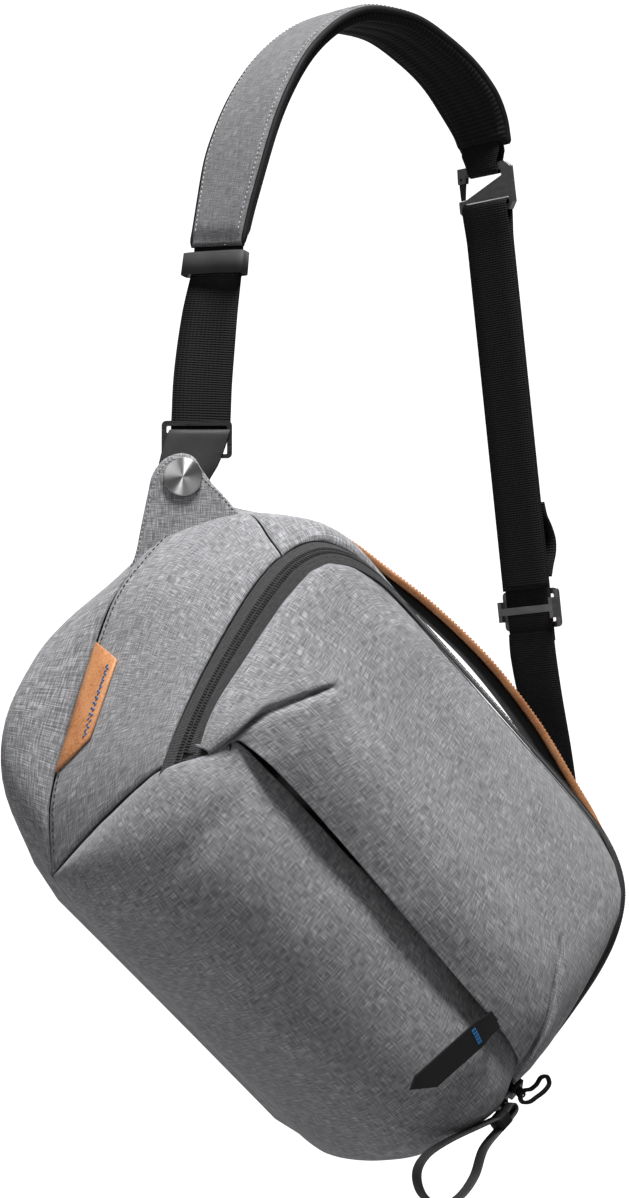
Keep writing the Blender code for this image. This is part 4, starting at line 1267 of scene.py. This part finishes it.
def build_discs():
    """Turned aluminium discs: a flat face with fine rings, and a rounded rim."""
    profile = [(0.01, 1.5), (11.4, 1.5), (11.9, 1.35), (12.15, 1.0), (12.2, 0.4), (12.2, -1.0), (11.8, -1.5),
               (0.01, -1.5)]                 # radius and height
    for side, word in SIDES:
        bm = bmesh.new()
        add_rod(bm, [[Vector((r * x, r * y, z)) for x, y in circle(72)] for r, z in profile])
        bmesh.ops.recalc_face_normals(bm, faces=bm.faces)
        obj = to_object(word + "_disc", bm, WORLD)
        obj.matrix_world = millimetres(ear_frame(side) @ Matrix.Translation((0, 0, 3.7)))
        obj.data.set_sharp_from_angle(angle=math.radians(30))
        finish_piece(obj, TURNED, "bag", [word + "_anchor_disc"], "brushed_disc")


EAR_HALF = 1.8                               # half its thickness


def ear_rows(outline):
    """A rounded cloth plate from its outline, in the ear's own frame."""
    centre = Vector((sum(p.x for p in outline), sum(p.y for p in outline))) / len(outline)
    face = [(0.1, 1.0), (0.3, 1.0), (0.5, 1.0), (0.7, 1.0), (0.9, 1.0), (0.97, 0.8), (1.0, 0.3)]
    sections = face + [(shrink, -z) for shrink, z in face[::-1]]
    return [[Vector((*centre.lerp(p, shrink), z * EAR_HALF)) for p in outline] for shrink, z in sections]


EAR_OUTLINE = [(-36, -62), (-30.5, -50), (-26.5, -30), (-22.5, -10), (-20, 1), (-15.5, 8.5), (-9, 13.6), (0, 15.6),
               (7, 12.6), (12, 5), (18.5, -4), (27, -13), (36, -24)]
RIGHT_EAR_ROOT = [(211, -4, 214), (197, -10, 262)]


def build_ears():
    into = ear_frame(1).inverted()
    root = [into @ (BAG @ (Vector(p) * MM) / MM) for p in RIGHT_EAR_ROOT]
    head = [(15.5 * math.cos(math.radians(a)), 15.5 * math.sin(math.radians(a))) for a in range(-60, 136, 15)]
    outlines = {-1: EAR_OUTLINE, 1: [(root[0].x, root[0].y)] + head + [(root[1].x, root[1].y)]}
    slope = (root[0].z - root[1].z) / (root[0].x - root[1].x)
    bend_from = root[1].x - root[1].z / slope

    def bend(side, x):
        """The right ear bends back from its disc to the bag's side."""
        return slope * min(0.0, x - bend_from) if side > 0 else 0.0

    for side, word in SIDES:
        outline = outlines[side]
        smooth = [spline(outline, (len(outline) - 1) * k / 56) for k in range(57)]
        rows = ear_rows(smooth)
        for p in (p for row in rows for p in row):
            p.z += bend(side, p.x)
        matrix = millimetres(ear_frame(side))
        solid_piece(word + "_ear_cloth", rows, CLOTH, "bag", [word + "_ear_tab"], "heather_fabric", matrix,
                    flat=True)
        points = []
        for p in smooth:
            away = p * (1 - 3.0 / max(6.0, p.length))
            points.append(Vector((*away, EAR_HALF + 0.05 + bend(side, away.x))))
        stitches(word + "_ear_stitches", points, [Vector((0, 0, 1))] * len(points), GREY_THREAD, "bag",
                 matrix, pitch=3.0, length=2.0)


def build_links():
    """Coated band of each ear: down its front, and over the ring's middle bar to come down behind it."""
    lean_at = 25.3                           # height at which the band has its whole lean
    half = [(-14.5, 4), (-13, 8), (-8, 13), (0, 16.5), (8, 18.8), (16, 19.6), (34, 19.6)]
    turn, reach, bar = 28.1, 3.0, -6.6       # where the band turns, its radius there, and the ring's bar
    for side, word, lean in ((-1, "left", 8.3), (1, "right", 0.0)):
        path = [(lerp(-14.5, turn, k / 16), reach, 1.0) for k in range(17)]
        path += [(turn + reach * math.sin(k * math.pi / 10), reach * math.cos(k * math.pi / 10),
                  math.cos(k * math.pi / 10)) for k in range(1, 10)]
        path += [(lerp(turn, -6.0, k / 14), -reach, -1.0) for k in range(15)]
        rows = []
        for y, z, turned in path:
            middle = Vector((lean * max(0.0, y) / lean_at, y, bar + z))
            out = Vector((0, math.sqrt(max(0.0, 1 - turned * turned)), turned))
            rows.append([middle + Vector((x, 0, 0)) + out * t for x, t in THIN_BAND(2 * table(half, y), 0)])
        solid_piece(word + "_link_band", rows, HYPALON, "bag", [word + "_link"], "hypalon",
                    millimetres(ear_frame(side)))


def dress_nodes():
    """Give the CAD pieces that keep their shape a finished material."""
    kept = {
        GREY_METAL: ["slide_hook", "strap_adjuster"],
        DARK_METAL: ["hook_gate", "gate_pin", "left_strap_ring", "right_strap_ring", "left_anchor_post",
                     "right_anchor_post", "main_slider_upper", "main_slider_lower", "pocket_slider"],
        EDGE: ["pocket_pull"],
        ZIP_PLAIN: ["pocket_zip_tape"],
        LINING: ["base_panel", "pocket_divider_wall", "lid_organiser"],
        FOAM: ["divider_left", "divider_right", "divider_left_flap", "divider_right_flap"],
    }
    for mat, names in kept.items():
        for name in names:
            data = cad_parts[name].data
            data.materials.clear()
            data.materials.append(mat)


def stage_sheet(name, profile, tone, glow):
    """One pale sheet of the studio: glow is the strength of the light that it gives off."""
    white, bsdf = new_material(name + "_white", 0.9)
    tint = noise_at(white, cloth_coords(white), 0.4, 1)
    paint(white, tint, [(0.2, grey(tone * 0.96)), (0.8, grey(tone))])
    bsdf.inputs["Emission Color"].default_value = (1, 1, 1, 1)
    bsdf.inputs["Emission Strength"].default_value = glow
    bm = bmesh.new()
    turn = Matrix.Rotation(-CAMERA_YAW, 4, "Z")
    rows = [[bm.verts.new(turn @ Vector((x, y, z))) for x in (-STAGE_REACH, STAGE_REACH)]
            for y, z in profile]
    for a, b in zip(rows, rows[1:]):
        bm.faces.new((a[0], a[1], b[1], b[0]))
    mesh = bpy.data.meshes.new(name)
    bm.to_mesh(mesh)
    bm.free()
    mesh.materials.append(white)
    sheet = bpy.data.objects.new(name, mesh)
    bpy.context.scene.collection.objects.link(sheet)


def build_studio():
    stage_sheet("studio_floor", [(-STAGE_REACH, FLOOR_Z), (STAGE_REACH, FLOOR_Z)], 0.62, 0.0)
    stage_sheet("studio_backdrop", [(STAGE_REACH, FLOOR_Z), (STAGE_REACH, STAGE_REACH)], 0.9, 1.0)
    world = bpy.data.worlds.new("studio")
    world.use_nodes = True
    world.node_tree.nodes["Background"].inputs["Color"].default_value = (1, 1, 1, 1)
    world.node_tree.nodes["Background"].inputs["Strength"].default_value = WORLD_LIGHT
    bpy.context.scene.world = world
    bpy.context.scene.view_settings.view_transform = "Standard"
    for light in LIGHTS:
        area_light(*light)


def main():
    for build in (set_camera, build_studio, build_ends, build_top, build_back, build_pocket, build_lid, build_zips,
                  build_pad, build_straps, build_handle, build_tag, build_discs, build_slider_rings, build_pulls,
                  build_bar_tack, build_ears, build_links, dress_nodes):
        build()


main()
